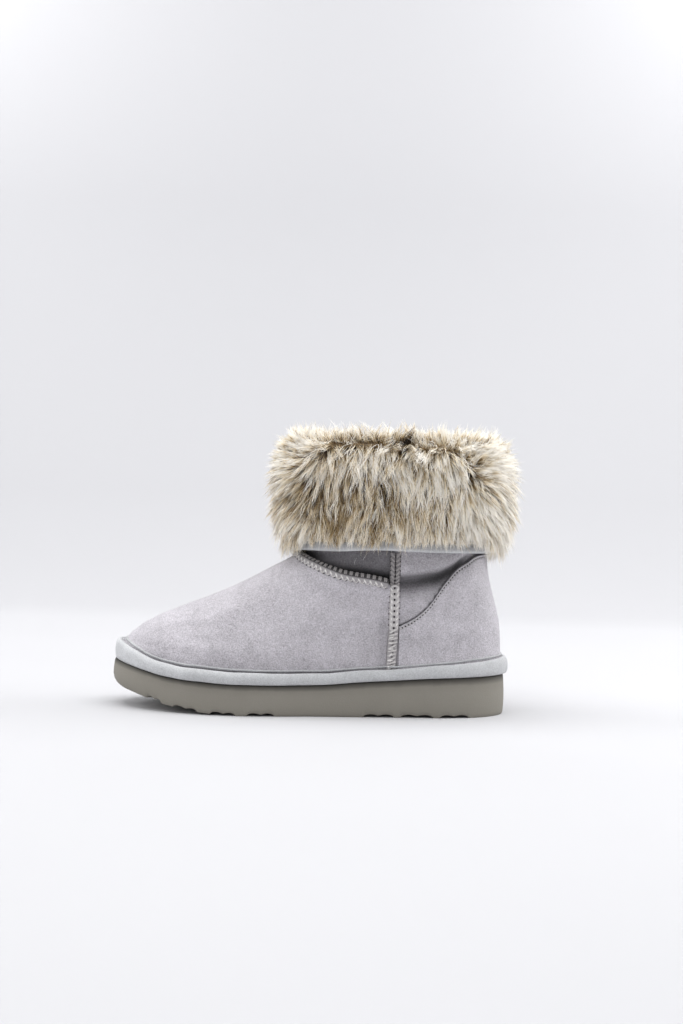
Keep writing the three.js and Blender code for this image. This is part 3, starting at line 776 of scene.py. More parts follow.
def build_upper():
    columns = 352
    angle = turn_round(columns)
    visible = np.linspace(0, 1.12, 140)
    levels = np.concatenate([visible, np.linspace(1.12, 2, 9)[1:]])
    rows, shades = [], []
    for level in levels:
        rows.append(skin(angle, level, 0, level in (0, 2))[0])
        shades.append(shadow(upper_point(angle, level)))
    for level in levels[::-2]:
        rows.append(skin(angle, level, -1.4, level in (0, 2))[0])
        shades.append(np.full(columns, 0.2))
    dress(torus("upper_suede", rows, suede, shades=np.array(shades)), "suede", "upper")


def build_lining():
    columns = 190
    angle = turn_round(columns)
    levels = np.linspace(0, 2, 80)
    rows = [skin(angle, level, -2.4, level in (0, 2))[0] for level in levels]
    for level in levels[::-1]:
        p, n = skin(angle, level, -wall, level in (0, 2))
        rows.append(p + n * (0.3 + 0.35 * waves(p[:, 0], p[:, 1], p[:, 2], 5, 5))[:, None])
    dress(torus("lining", rows, fleece), "fleece")


def build_counter():
    """The heel counter: its rounded top edge, a stitch groove inside it and the cut edge."""
    columns = 300
    depth = np.array([0, 0.12, 0.3, 0.55, 0.9, 1.3, 1.6, 1.9, 2.2, 2.5, 2.9, 3.5, 4.5, 6, 8, 10])
    lower = np.linspace(0, 1, 40)[1:]
    share = np.linspace(0, 1, columns)
    front_edge = seam_x - side_seam_width / 2 + 0.6
    rows_out, rows_in, shades = [], [], []
    for k in range(len(depth) + len(lower)):
        level = np.full(columns, 0.6)
        for _ in range(12):
            first = angle_at(front_edge, level)
            angle = first + (2 * math.pi - 2 * first) * share
            x = upper_point(angle, level)[:, 0]
            foot = sole_top(x) + gap + 0.55 * rand_height
            top = np.minimum(counter_z(x), cuff_bottom - binding_height - 0.6)
            if k < len(depth):
                z = top - depth[k]
            else:
                z = mix(top - depth[-1], foot, lower[k - len(depth)])
            level = level_at(x, z)
        d = depth[k] if k < len(depth) else 20
        thick = gap + 1.45 * math.sqrt(1 - (1 - min(d / 0.6, 1)) ** 2) - 0.4 * bump((d - 2.2) / 0.5)
        p, n = skin(angle, level, thick)
        q, _ = skin(angle, level, 0.1)
        rows_out.append(p)
        rows_in.append(q)
        # The cut edge is dark in its own colour; the stitch groove below it gets painted shade.
        shades.append(np.full(columns, 0.9 * bump(d / 0.4) + 0.2 * bump((d - 2.2) / 0.6)))
        if k == 8:
            stitch_line = p
            stitch_away = n
    rows_in = rows_in[::-4]
    rows = np.array(rows_out + rows_in)
    tones = np.concatenate([np.array(shades), np.full((len(rows_in), columns), 0.3)]).T
    dress(capped("counter_panel", rows.transpose(1, 0, 2), suede, tones), "suede", "counter")
    sew_line("counter_stitches", stitch_line, stitch_away, 2.3, 1.2, 0.3, 0.34, thread, lift=0.05)
    hole_line("counter_holes", stitch_line, stitch_away, 2.3, 0.6, lift=0.3, stretch=1.75)


def capped(name, loops, material, tones):
    """A closed strip through loops of points, with a fan of triangles at each end."""
    n, m = loops.shape[:2]
    points = np.concatenate([loops.reshape(-1, 3), [loops[0].mean(0), loops[-1].mean(0)]])
    quads = ring_faces(n, m, closed=False)
    k = np.arange(m)
    after = (k + 1) % m
    first = np.stack([np.full(m, n * m), after, k], -1)
    last = np.stack([np.full(m, n * m + 1), (n - 1) * m + k, (n - 1) * m + after], -1)
    faces = np.concatenate([quads[:, [0, 1, 2]], quads[:, [0, 2, 3]], first, last])
    return make(name, points, outwards(points, faces), material, shades=np.append(tones.ravel(), [0.3, 0.3]))


def spaced(line, pitch, *others, start=0.5):
    """Places along a line of points at a pitch, the directions along it, and others there."""
    step = np.linalg.norm(np.diff(line, axis=0), axis=1)
    run = np.concatenate([[0], np.cumsum(step)])
    at = np.arange(pitch * start, run[-1] - pitch * 0.2, pitch)

    def pick(rows, places):
        return np.stack([np.interp(places, run, rows[:, i]) for i in range(3)], -1)

    along = unit(pick(line, at + 0.4) - pick(line, at - 0.4))
    return pick(line, at), along, *[unit(pick(rows, at)) for rows in others]


def sew_line(
    name, line, away, pitch, length, rise, radius, material, slot="thread", side=0.0, lift=0.0, start=0.5, **more,
):
    """Stitches along a line, moved sideways and up from it."""
    p, along, up = spaced(line, pitch, away, start=start)
    across = np.cross(up, along)
    piece = sew(name, p + across * side + up * lift, along, up, material, length, rise, radius, **more)
    dress(piece, slot)


def hole_line(name, line, away, pitch, radius, side=0.0, lift=0.02, start=1.0, stretch=1.0):
    """Near-black needle holes and gaps between stitches, painted shade: low flat domes of sixteen faces."""
    p, along, up = spaced(line, pitch, away, start=start)
    across = np.cross(up, along)
    p = p + across * side + up * lift
    turn = np.linspace(0, 2 * math.pi, 8, endpoint=False)
    rim = along[:, None] * (np.cos(turn) * stretch)[:, None] + across[:, None] * np.sin(turn)[:, None]
    rim = p[:, None] + radius * rim
    domed = np.concatenate([rim - up[:, None] * 0.15, (p + up * 0.06)[:, None], (p - up * 0.3)[:, None]], 1)
    base = (np.arange(len(p)) * 10)[:, None, None]
    k = np.arange(8)
    fans = np.concatenate([
        np.stack([k, (k + 1) % 8, np.full(8, 8)], -1), np.stack([(k + 1) % 8, k, np.full(8, 9)], -1)])
    faces = (base + fans[None]).reshape(-1, 3)
    points = domed.reshape(-1, 3)
    dress(make(name, points, outwards(points, faces), painted_hole_shade), "thread")


def ridge(name, line, away, half_width, profile, shade, node_name, rows=19):
    """A suede strip along a line, k from -1 to 1 across it. profile gives its height, shade its painted shade."""
    along = unit(np.gradient(line, axis=0))
    across = unit(np.cross(away, along))
    w = np.linspace(-1, 1, rows)
    run = np.concatenate([[0], np.cumsum(np.linalg.norm(np.diff(line, axis=0), axis=1))])
    grid = np.array([line + across * (half_width * k) + away * profile(k) for k in w])
    under = np.array([line + across * (half_width * k) - away * 3 for k in (1, 0, -1)])
    loops = np.concatenate([grid, under]).transpose(1, 0, 2)
    tones = np.full((len(line), rows + 3), 0.3)
    for i, k in enumerate(w):
        tones[:, i] = shade(k, run)
    dress(capped(name, loops, seam_suede, tones), "thread", node_name)


def side_seam_section(k):
    """Two soft lanes and a groove."""
    return 1.25 * math.sqrt(max(0, 1 - abs(k) ** 4)) - 0.7 * bump(k / 0.16)


# Painted shade on the side seam's strip: in its groove and at its edges, dark between the stitches in its top part
# under the cuff, and some in its lower part.
def side_seam_shade(k, run):
    top = smooth((26 - run) / 4)
    low = smooth((run - 48) / 6)
    return 0.4 * bump(k / 0.12) + 0.25 * smooth(abs(k) * 6 - 5) + 0.5 * top + 0.22 * low


def build_side_seams():
    pitch = 3.8
    for side, label in ((1, "outer"), (-1, "inner")):
        z = np.linspace(cuff_bottom - binding_height - 0.4, sole_top(seam_x) + rand_height - 0.8, 160)
        x = seam_x + 0.9 * smooth((62 - z) / 26)
        level = level_at(x, z)
        angle = angle_at(x, level)
        line, away = skin(angle if side > 0 else 2 * math.pi - angle, level, gap)
        name = "side_seam_" + label
        ridge(name + "_strip", line, away, side_seam_width / 2 - 0.7, side_seam_section, side_seam_shade, name)
        top, middle, low = slice(0, 46), slice(44, 104), slice(102, 160)
        for lane, part in ((-1, "_left"), (1, "_right")):
            # Chevrons in the dark thread, painted shade under the cuff.
            sew_line(
                name + part + "_chevrons", line[top], away[top], 3.0, 3.4, 0.5, 0.6, painted_shade_thread,
                side=lane * 1.8, lift=1.05, turn=-lane * 0.72,
            )
            hole_line(name + part + "_gaps", line[top], away[top], 3.0, 0.72, side=lane * 2.9, lift=1.0, stretch=1.1)
            hole_line(
                name + part + "_notches", line[middle], away[middle], pitch, 0.62, side=lane * 3.3, lift=0.6,
                start=1.0, stretch=0.9,
            )
        hole_line(name + "_groove", line[top], away[top], 3.3, 0.6, lift=0.95, start=0.8, stretch=1.3)
        sew_line(
            name + "_links", line[middle], away[middle], pitch, 3.3, 0.1, 0.85, thread,
            lift=0.8, looseness=0.35, closed=True,
        )
        for lane, part in ((-1, "_left"), (1, "_right")):
            # Bridges in the pale thread, painted highlights beside the chain.
            sew_line(
                name + part + "_bridges", line[middle], away[middle], pitch, 3.2, 0.5, 0.5, pale_lint_and_painted_highlight_thread,
                side=lane * 1.9, lift=1.1, turn=-lane * 0.35, start=0.85, looseness=0.3,
            )
        hole_line(name + "_holes", line[middle], away[middle], pitch, 0.62, lift=1.0, start=0.5, stretch=1.25)
        sew_line(
            name + "_slants", line[low], away[low], 2.7, 5.6, 0.7, 0.7, thread,
            lift=1.0, turn=math.pi / 2 + 0.4, looseness=0.2,
        )
        # Strays in the pale thread, painted highlights.
        sew_line(
            name + "_strays", line[low], away[low], 3.9, 3.0, 0.6, 0.5, pale_lint_and_painted_highlight_thread,
            side=-1.0, lift=1.3, turn=2.0, looseness=0.5,
        )
        hole_line(name + "_low_gaps", line[low], away[low], 4.6, 0.6, side=2.6, lift=0.7, stretch=1.3)


def vamp_seam_section(k):
    return 0.1 + 2.1 * math.sqrt(max(0, 1 - abs(k) ** 3))


def build_vamp_seam():
    pitch = 3.8
    count = 420
    last = math.pi
    for _ in range(3):
        angle = np.linspace(last, -last, count)
        low, high = np.full(count, 0.3), np.full(count, 1.4)
        for _ in range(26):
            middle = (low + high) / 2
            p = upper_point(angle, middle)
            under = p[:, 2] < vamp_seam_z(p[:, 0])
            low, high = np.where(under, middle, low), np.where(under, high, middle)
        inside = upper_point(angle, low)[:, 0] > seam_x + side_seam_width / 2 - 0.4
        last = angle[np.argmax(inside)]
    away = upper_normal(angle, low)
    line = upper_point(angle, low) + away * 0.2
    upward = np.sign(np.cross(away, np.gradient(line, axis=0))[:, 2].mean())

    # Painted shade on the vamp seam's strip: a little all over, deep on its upper half between the teeth, and along
    # its lower edge.
    def shade(k, run):
        return 0.2 + 0.65 * smooth(upward * k * 2.5) + 0.3 * smooth(-upward * k * 4 - 2.8)

    ridge("vamp_seam_strip", line, away, vamp_seam_width / 2 + 0.5, vamp_seam_section, shade, "vamp_seam")
    # Teeth in the dark thread, painted shade under the seam's top edge.
    for start, part in ((0.5, "teeth"), (0.78, "teeth_between")):
        sew_line(
            "vamp_seam_" + part, line, away, pitch, 3.7, 0.8, 0.6, painted_shade_thread,
            side=upward * 1.6, lift=1.15, turn=math.pi / 2 + 0.08, start=start,
        )
    sew_line(
        "vamp_seam_chain", line, away, pitch, 2.5, 0.1, 0.5, thread,
        side=upward * -1.2, lift=1.5, turn=0.5, start=0.65, closed=True,
    )
    hole_line("vamp_seam_chain_gaps", line, away, pitch, 0.45, side=upward * -0.9, lift=1.95, start=1.15)
    # Glints: short stitches of the pale thread, painted highlights on the chain.
    sew_line(
        "vamp_seam_glints", line, away, pitch, 2.3, 0.5, 0.6, pale_lint_and_painted_highlight_thread,
        side=upward * -1.0, lift=1.9, turn=-0.8, start=1.1,
    )
    sew_line(
        "vamp_seam_edge", line, away, pitch, 3.0, 0.4, 0.6, thread,
        side=upward * -2.4, lift=0.85, turn=-0.3, start=0.9,
    )
    hole_line("vamp_seam_holes", line, away, pitch, 0.6, side=upward * -2.8, lift=0.85, start=0.4, stretch=1.5)


def build_lint():
    """A few pale hairs caught on the shaft's nap."""
    rng = np.random.default_rng(15)
    x = seam_x + np.array((21, 27))
    z = vamp_seam_z(x) + np.array((14, 12))
    level = level_at(x, np.minimum(z, cuff_bottom - binding_height - 3))
    p, away = skin(angle_at(x, level), level, 0.1)
    along = unit(rng.normal(size=(2, 3)) * (0.3, 0.1, 1))
    lint = sew("shaft_lint", p, along, away, pale_lint_and_painted_highlight_thread, 5.5, 0.3, 0.07, looseness=0.4)
    dress(lint, "thread")


def build_rand():
    columns = 620
    angle = turn_round(columns)
    s = (1 + np.cos(angle)) / 2
    widest = outline(angle, rand_overhang * curve(rand_stations, rand_reach, s))
    height = rand_height + rand_heel_extra * curve(rand_stations, rand_heel, s)
    height = height + rand_toe_extra * curve(rand_stations, rand_toe, s)
    base = upper_point(angle, np.zeros(columns))
    section = [(0, 0), (0.35, -0.01), (0.72, 0.0), (0.86, 0.04), (0.95, 0.14), (0.99, 0.27), (1, 0.42)]
    section += [(0.985, 0.58), (0.94, 0.72), (0.86, 0.84), (0.75, 0.93), (0.6, 0.99), (0.46, 1.01), (0.36, 0.98)]
    section += [(0.3, 0.93), (0.24, 0.96), (0.15, 0.97), (0.06, 0.93), (0, 0.84), (0, 0.4)]
    rows, shades = [], []
    for out, up in section:
        level = level_at(base[:, 0], base[:, 2] + up * height)
        p, _ = skin(angle, level, gap * 0.5, True)
        r = mix(p, at_height(widest, p[:, 2]), out)
        swell = 0.18 * waves(r[:, 0], r[:, 1], r[:, 2], 22, 21) + 0.1 * waves(r[:, 0], r[:, 1], r[:, 2], 9, 22)
        r[:, 2] = sole_top(r[:, 0]) + gap + up * height + swell * smooth(up * 2)
        r[:, :2] += unit(widest - p[:, :2]) * (0.2 * swell * out)[:, None]
        rows.append(r)
        # Painted shade on the rand: in the stitch groove on its top, at its foot by the sole, and lightly over its
        # face except at the toe and its lowest edge.
        rand_painted_shade = 0.3 * bump((up - 0.93) / 0.05) * (0.2 < out < 0.4) + 0.25 * smooth(1 - up * 12)
        shades.append(rand_painted_shade + 0.08 * (out > 0.7) * smooth(up * 5) * smooth((0.92 - s) / 0.2))
    dress(torus("rand_tape", rows, trim, shades=np.array(shades)), "trim", "rand")
    # The cut edge of the rand's lining is a bead between rand and suede.
    x = base[:, 0]
    over_counter = 1.7 * smooth((seam_x + side_seam_width / 2 - x) / 2)
    over_seam = 0.9 * bump((x - seam_x) / 4)
    pucker = 0.14 * waves(x, base[:, 1], base[:, 2], 3.5, 77)
    bead = []
    for turn in np.linspace(0, 2 * math.pi, 6, endpoint=False):
        level = level_at(x, base[:, 2] + height + 1.5 + pucker + 0.75 * math.sin(turn))
        lift = 0.25 + over_counter + over_seam + pucker + 0.6 * math.cos(turn)
        bead.append(skin(angle, level, lift, True)[0])
    dress(torus("rand_bead", bead, trim, shades=np.full((6, columns), 0.16)), "trim")
    once_round = np.arange(columns + 1) % columns
    away = at_height(0.6 * unit(widest - base[:, :2]), np.ones(columns))[once_round]
    groove = section.index((0.3, 0.93))
    sew_line("rand_stitches", rows[groove][once_round], unit(away), 4.0, 3.0, 0.15, 0.26, trim, "trim")


def channel_depth(x, y):
    """How deep the tread is cut at a place, 0 to 1, with two shallow arches in each channel."""
    t = np.abs((y / zigzag_length) % 1 - 0.5) * 2
    shifted = x - zigzag_width * (t - 0.5)
    total = np.zeros(np.shape(x))
    for at, width in tread:
        u = (shifted - at * sole_length) / (width * sole_length / 2)
        arch = 0.55 + 0.45 * np.abs(np.sin(math.pi * np.clip(u, -1, 1)))
        total = np.maximum(total, arch * smooth((1.04 - np.abs(u)) / 0.09))
    return total


def build_outsole():
    columns = 1040
    angle = turn_round(columns)
    s = (1 + np.cos(angle)) / 2
    tuck = mix(1.2, 7.5, curve(sole_stations, sole_tuck, s))
    side = [(1, 0.0), (0.55, 0.03), (0.3, 0.1), (0.1, 0.22), (0, 0.4)]
    side += [(0.03, 0.6), (0.12, 0.8), (0.2, 0.93), (0.32, 0.985), (0.6, 1.0)]
    rows = []
    for share, up in side:
        upper_side = up > 0.5
        inset = np.where(upper_side, share * 3.2 + 0.1 * share * tuck, share * tuck)
        xy = outline(angle, -inset)
        top = sole_top(xy[:, 0])
        floor_z = sole_bottom(xy[:, 0]) + tread_depth * channel_depth(xy[:, 0], xy[:, 1])
        rows.append(at_height(xy, mix(floor_z, top, up)))
    inner = outline(angle, -tuck)
    middle = spine(inner[:, 0], -sole_length / 2 + 34, sole_length / 2 - 42)
    above, below = [], []
    for k in (0.5, 1):
        xy = mix(rows[-1][:, :2], middle, k * 0.999)
        above.append(at_height(xy, sole_top(xy[:, 0])))
    for k in np.linspace(1, 0.0, 26)[:-1]:
        xy = mix(inner, middle, k * 0.999)
        below.append(at_height(xy, sole_bottom(xy[:, 0]) + tread_depth * channel_depth(xy[:, 0], xy[:, 1])))
    # Painted shade on the sole's side under the rand's overhang, deepest at its top; the tread is a little darker
    # and the hidden top darker still.
    side_shades = [0.75 * smooth((up - 0.76) / 0.24) for _, up in side]
    shades = np.repeat([0.1] * len(below) + side_shades + [0.6, 0.6], columns)
    rows = np.array(below + rows + above)
    points = rows.reshape(-1, 3)
    faces = outwards(points, lidded_faces(*rows.shape[:2]))
    dress(make("outsole_foam", points, faces, foam, shades=shades), "foam", "outsole")


def build_binding():
    columns = 420
    angle = turn_round(columns)
    low = cuff_bottom - gap - binding_height
    section = [(gap, 0.3), (0.8, 0.08), (1.6, 0.0), (2.8, 0.0), (3.6, 0.04), (4.2, 0.14), (binding_thickness, 0.35)]
    section += [(binding_thickness, 0.6), (4.3, 0.85), (4.0, 1.0), (2.0, 1.05), (gap, 1.0)]
    rows = []
    # Painted shade on the binding's upper part, under the overhanging pile; its lower edge is left light.
    shades = [np.full(columns, 0.3 * smooth((up - 0.22) / 0.2)) for _, up in section]
    level = level_at(0.0, np.array([low, low + binding_height]))
    for out, up in section:
        at = np.full(columns, mix(level[0], level[1], up))
        p = upper_point(angle, at)
        n = unit(upper_normal(angle, at) * (1, 1, 0))
        swell = waves(p[:, 0], p[:, 1], p[:, 0] * 0, 34, 8)
        p = p + n * (out + 0.5 * swell * smooth(out / 3))[:, None]
        p[:, 2] = low + up * binding_height + 0.7 * waves(p[:, 0], p[:, 1], p[:, 0] * 0, 60, 9)
        rows.append(p)
    dress(torus("cuff_binding_tape", rows, trim, shades=np.array(shades)), "trim", "cuff_binding")


def build_insole():
    columns = 200
    angle = turn_round(columns)
    rows = []
    for up, inset in ((0, 1.0), (0.35, 0.3), (0.75, 0.2), (0.93, 0.8), (1, 2.0)):
        base = upper_point(angle, np.zeros(columns))
        level = level_at(base[:, 0], base[:, 2] + up * insole_thickness)
        p = upper_point(angle, level)
        n = unit(upper_normal(angle, level) * (1, 1, 0))
        p = p - n * (wall + gap + inset)
        p[:, 2] = sole_top(p[:, 0]) + gap + up * insole_thickness
        rows.append(p)
    rim, foot = rows[-1], rows[0]
    middle = spine(rim[:, 0], -sole_length / 2 + 45, sole_length / 2 - 60)
    inner, under = [], []
    for k in (0.12, 0.3, 0.5, 0.7, 0.85, 0.999):
        xy = mix(rim[:, :2], middle, k)
        crown = 0.5 * waves(xy[:, 0], xy[:, 1], xy[:, 0] * 0, 6, 14) + 0.8 * smooth(k * 3)
        inner.append(at_height(xy, sole_top(xy[:, 0]) + gap + insole_thickness + crown * smooth(k * 6)))
    for k in (0.999, 0.5):
        xy = mix(foot[:, :2], middle, k)
        under.append(at_height(xy, sole_top(xy[:, 0]) + gap))
    rows = np.array(under + rows + inner)
    points = rows.reshape(-1, 3)
    faces = outwards(points, lidded_faces(*rows.shape[:2]))
    piece = dress(make("insole_fleece", points, faces, fleece), "fleece", "insole")


# The cuff's pile

# The cuff's section: distances outside the shaft and heights, from its lower edge over the fold
pile_path = np.array([
    (2.5, 116.5), (6.5, 121), (9, 130), (9.8, 145), (9.6, 160), (8.6, 172), (6.4, 179.5), (2.6, 183.2),
    (-1.6, 184.2), (-5.4, 182.4), (-7.8, 178), (-8.4, 170), (-7.4, 161), (-5, 157),
])
path_run = np.concatenate([[0], np.cumsum(np.linalg.norm(np.diff(pile_path, axis=0), axis=1))])
parting = 66.0  # the place in the section's run where pile that hangs meets pile that stands
inner_side = path_run[9]
pile_length = 16.5
strand_width = 0.34
locks = 11000
# Tone, place along the boot and its reach, height and its reach
pile_patches = ((-0.62, -14, 30, 154, 15), (-0.3, -52, 25, 146, 15), (0.4, -96, 24, 144, 30))


def by_shaft(angle, out, z):
    """Points at a distance outside the shaft and a height, and the level directions away from it."""
    level = level_at(np.zeros(np.shape(z)), np.minimum(z, collar_height))
    p = upper_point(angle, level)
    n = unit(upper_normal(angle, level) * (1, 1, 0))
    p = p + n * np.asarray(out)[..., None]
    p[..., 2] = z
    return p, n


def on_pile(angle, run):
    """Places on the pile's section and round the boot, with the directions out, up the section and round."""
    out, z = (np.interp(run, path_run, c) for c in pile_path.T)
    ahead, climb = (np.interp(run + 1, path_run, c) - np.interp(run - 1, path_run, c) for c in pile_path.T)
    p, n = by_shaft(angle, out, z)
    up = np.array((0, 0, 1.0))
    slope = unit(n * ahead[..., None] + up * climb[..., None])
    away = unit(n * climb[..., None] - up * ahead[..., None])
    around = unit(np.cross(up, n))
    return p, away, slope, around


def build_pile_core():
    columns = 220
    angle = turn_round(columns)
    rows = []
    for run in np.linspace(0, path_run[-1], 48):
        p, away, _, _ = on_pile(angle, np.full(columns, run))
        rows.append(p - away * (2.0 + 0.9 * waves(p[:, 0], p[:, 1], p[:, 2], 9, 31))[:, None])
    for out, z in ((-3.2, 158), (-3.2, 170), (-3.3, 178.4), (0.3, 178.4), (0.3, 160), (0.3, 140), (0.3, 118)):
        rows.append(by_shaft(angle, np.full(columns, out), np.full(columns, float(z)))[0])
    points = np.array(rows)
    uv = np.zeros((points.shape[0] * points.shape[1], 2))
    uv[:, 0] = 0.4
    uv[:, 1] = 0.08 + 0.35 * smooth((points[..., 2].ravel() - 166) / 14)
    dress(torus("pile_backing", points, pile, uv=uv), "fur", "cuff_pile")


def combed(angle, run, wild):
    """The roots of strands at places on the pile, and the directions in which they leave it."""
    root, away, slope, around = on_pile(angle, run)
    x, y, z = root.T
    # The pile hangs on the cuff's sides, sprays out at its front and back, and stands above a parting.
    at_end = smooth((np.abs(np.cos(angle)) - mix(0.54, 0.62, np.cos(angle) > 0)) / 0.2)
    at_end = at_end * mix(0.35, 1, smooth((run - 8) / 26))
    part = parting - 18 * at_end + 4 * waves(x, y, 0 * z, 26, 50)
    fall = np.tanh((run - part) / 5)
    swirl = 0.16 * waves(x, y, z, 44, 51) + 0.17 * waves(x, y, z, 14, 52) + 0.15 * waves(x, y, z, 7, 53)
    swirl = swirl * (1 + at_end) + wild
    spread = swirl - 0.7 * at_end * np.sign(np.sin(2 * angle))
    stand = 0.38 + 0.2 * bump((run - part) / 6) + 0.3 * at_end
    flow = slope * (fall * (1 - 0.35 * at_end))[:, None] + around * spread[:, None]
    return root, away, unit(flow + away * stand[:, None])


def pile_lengths(angle, run, root, rng):
    """Strand lengths, shorter over the fold and inside, and ending at the cuff's lower edge."""
    length = pile_length * rng.uniform(0.55, 1.15, len(run))
    length = length * mix(1, 0.85, smooth((run - parting) / 6))
    length = length * mix(1, 0.7, smooth((run - inner_side) / 6))
    ragged = 1.5 * waves(root[:, 0], root[:, 1], 0 * run, 11, 61)
    at_ends = np.abs(np.cos(angle)) ** 6
    lowest = cuff_bottom + 1.4 - 10 * at_ends + ragged
    drop = np.maximum(root[:, 2] - lowest, 4)
    return np.where(run < parting - 20, np.minimum(length, drop * rng.uniform(0.9, 1.2, len(run))), length)


def grow_pile(name, count, seed, low, high):
    """Strands rooted between two runs of the pile's section, gathered in locks."""
    rng = np.random.default_rng(seed)
    angle = rng.uniform(0, 2 * math.pi, count)
    run = rng.uniform(low, high, count)
    root, away, aim = combed(angle, run, rng.normal(0, 0.2, count))
    length = pile_lengths(angle, run, root, rng)
    # Locks: a strand leans towards the strand at its lock's middle and shares its length and tone.
    chance = np.random.default_rng(77)
    lock_angle = chance.uniform(0, 2 * math.pi, locks)
    lock_run = chance.uniform(0, path_run[-1], locks)
    lock_root, _, lock_aim = combed(lock_angle, lock_run, chance.normal(0, 0.3, locks))
    lock_tone = chance.normal(0, 0.38, locks)
    lock_length = chance.uniform(0.7, 1.2, locks)
    lock_facing = chance.normal(0, 0.45, (locks, 3))
    reach = 68.0  # the cuff's mean radius, which sets widths round it beside the section's runs
    places = KDTree(3 * locks)
    for shift in (-2 * math.pi, 0, 2 * math.pi):
        for i in range(locks):
            places.insert(((lock_angle[i] + shift) * reach, lock_run[i], 0), i)
    places.balance()
    nearest = np.array([places.find((a * reach, r, 0))[1] for a, r in zip(angle, run)])
    length = length * lock_length[nearest]
    t = np.array([0, 0.33, 0.68, 1])[:, None, None]
    sag = np.where(run < parting, 0.3, 0.1) * length
    bend = np.array((0, 0, -1.0)) * sag[:, None] * t * t
    own = root + aim * length[:, None] * t
    shared = lock_root[nearest] + lock_aim[nearest] * length[:, None] * t
    gather = rng.uniform(0.6, 1.0, count)[:, None] * t ** 0.8
    path = mix(own, shared, gather) + bend + rng.normal(0, 0.8, (count, 3)) * np.sin(t * 4.5)
    tangent = unit(np.gradient(path, axis=0))
    facing = unit(away + np.array((0, 0, 0.5)) + lock_facing[nearest] + rng.normal(0, 0.25, (count, 3)))
    side = unit(np.cross(tangent, facing))
    half = strand_width / 2 * rng.uniform(0.75, 1.3, count)[:, None]
    taper = np.array([0.85, 1, 0.75, 0])[:, None, None]
    edges = [path - side * half * taper, path + side * half * taper]
    points = np.stack(edges, 2)[:3].transpose(1, 0, 2, 3).reshape(count, 6, 3)
    points = np.concatenate([points, path[-1][:, None]], 1)
    strand_faces = np.array([(0, 1, 3), (0, 3, 2), (2, 3, 5), (2, 5, 4), (4, 5, 6)])
    faces = np.arange(count)[:, None, None] * 7 + strand_faces
    x, y, z = root.T
    ahead = np.cos(angle)
    tone = rng.normal(0.49, 0.2, count) + lock_tone[nearest] + 0.24 * waves(x, y, z, 24, 71)
    # Painted light: pale at both ends, where back light catches the tips, and along the top, which faces the top
    # light
    tone = tone + mix(0.2, 0.45, ahead < 0) * smooth((np.abs(ahead) - 0.6) / 0.3)
    tone = tone + 0.28 * smooth((z - 166) / 16) + 0.32 * bump((z - 169) / 8)
    # Dark on the cuff's sides, most towards the front, pale behind that, dark again at the rear parting
    for depth, x_middle, x_reach, z_middle, z_reach in pile_patches:
        tone = tone + depth * bump((x - x_middle) / x_reach) * bump((z - z_middle) / z_reach)
    tone = tone - 0.15 * bump((ahead + 0.66) / 0.07) * bump((z - 158) / 14)
    uv = np.zeros((count, 7, 2))
    uv[..., 0] = np.clip(tone, -0.1, 1.3)[:, None]
    uv[..., 1] = (0, 0, 0.33, 0.33, 0.68, 0.68, 1)
    dress(make(name, points.reshape(-1, 3), faces.reshape(-1, 3), pile, uv=uv.reshape(-1, 2)), "fur")


build_upper()
build_lining()
build_counter()
build_side_seams()
build_vamp_seam()
build_lint()
build_rand()
build_outsole()
build_binding()
build_insole()
build_pile_core()
share = 1.0
for name, count, seed, low, high in (
    ("pile_lower", 34000, 101, 1.0, 34.0),
    ("pile_upper", 34000, 102, 32.0, 64.0),
    ("pile_top", 19000, 103, 61.0, 82.0),
    ("pile_inside", 8000, 104, 80.0, path_run[-1]),
):
    grow_pile(name, int(count * share), seed, low, high)

# Studio


def soft_box(name, place, aim, strength, width, height):
    data = bpy.data.lights.new(name, "AREA")
    data.energy = strength
    data.shape, data.size, data.size_y = "RECTANGLE", width, height
    lamp = bpy.data.objects.new(name, data)
    scene.collection.objects.link(lamp)
    lamp.location = place
    lamp.rotation_euler = (Vector(aim) - Vector(place)).to_track_quat("-Z", "Y").to_euler()


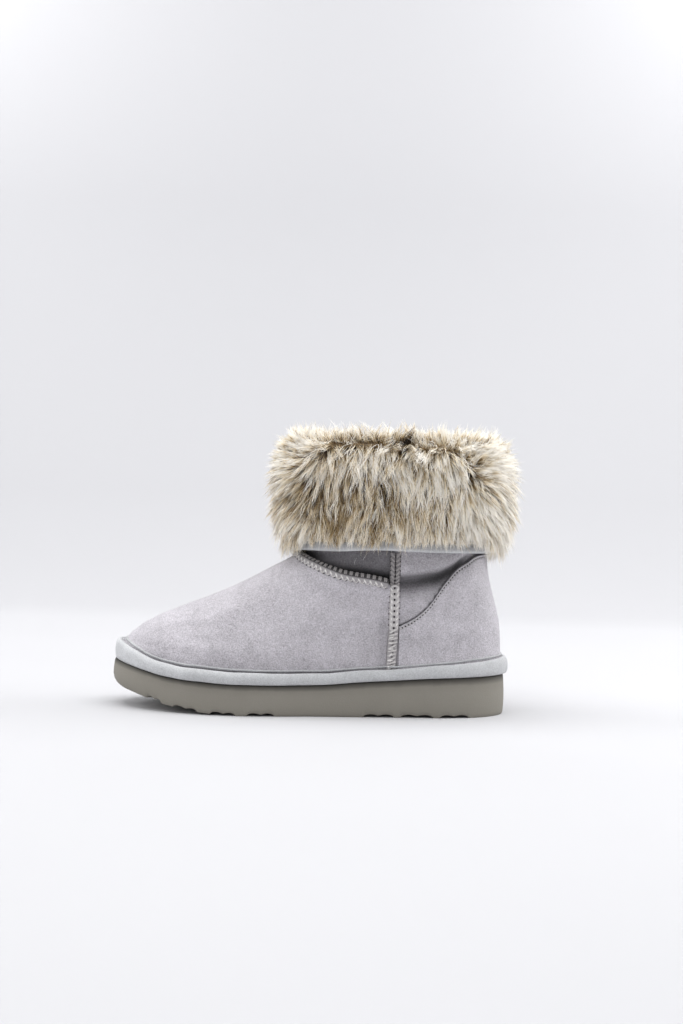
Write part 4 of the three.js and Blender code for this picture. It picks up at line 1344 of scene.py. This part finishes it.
def build_studio():
    """Pale paper that sweeps up behind the boot, soft boxes above, ahead and beside, and a dim room."""
    half_width, start, radius, top, near = 4.0, -0.9, 0.7, 3.5, 3.0
    turn = np.linspace(0, math.pi / 2, 24)
    rise = [(near, 0.0)] + [(start - radius * math.sin(a), radius - radius * math.cos(a)) for a in turn]
    rise.append((start - radius, top))
    points = [(side * half_width, y, z) for y, z in rise for side in (-1, 1)]
    faces = [(2 * i, 2 * i + 1, 2 * i + 3, 2 * i + 2) for i in range(len(rise) - 1)]
    mesh = bpy.data.meshes.new("paper_sweep")
    mesh.from_pydata(points, [], faces)
    mesh.shade_smooth()
    paper = bpy.data.materials.new("paper")
    paper.use_nodes = True
    tree = paper.node_tree
    principled = tree.nodes["Principled BSDF"]
    place = node(tree, "ShaderNodeTexCoord").outputs["Object"]
    cloud = node(tree, "ShaderNodeTexNoise", None, Vector=place, Scale=1.5, Detail=2.0)
    depth = node(tree, "ShaderNodeSeparateXYZ", None, Vector=place).outputs["Y"]
    # The paper is painted darker where it rises into the wall behind the boot: painted shade that keeps the wall
    # dimmer than the floor.
    back = node(tree, "ShaderNodeMapRange", None, Value=depth, _1=-0.75, _2=-1.35).outputs[0]
    floor_tone = ramp(tree, cloud.outputs[0], [(0.3, (0.585, 0.585, 0.6)), (0.7, (0.605, 0.605, 0.62))])
    colour = blend_colours(tree, back, floor_tone, (0.48, 0.48, 0.495, 1))
    tree.links.new(colour, principled.inputs["Base Color"])
    principled.inputs["Roughness"].default_value = 0.9
    mesh.materials.append(paper)
    sweep = bpy.data.objects.new("paper_sweep", mesh)
    scene.collection.objects.link(sweep)
    world = bpy.data.worlds.new("studio")
    world.use_nodes = True
    background = world.node_tree.nodes["Background"]
    background.inputs["Color"].default_value = (0.95, 0.96, 1.0, 1)
    background.inputs["Strength"].default_value = 0.3
    scene.world = world
    middle = (-0.02, 0, 0.08)
    soft_box("top_box", (-0.05, 0.2, 1.5), middle, 26, 1.8, 1.3)
    soft_box("front_box", (0.4, 1.8, 0.8), middle, 6, 1.5, 1.2)
    for side, label, strength in ((-1, "heel", 11), (1, "toe", 8)):
        soft_box(label + "_box", (side * 1.3, -0.2, 0.7), middle, strength, 0.9, 0.9)
        soft_box(label + "_wall_box", (side * 1.15, -0.9, 1.5), (side * 0.9, -1.6, 1.35), 18, 0.7, 0.7)


build_studio()
scene.view_settings.view_transform = "Standard"
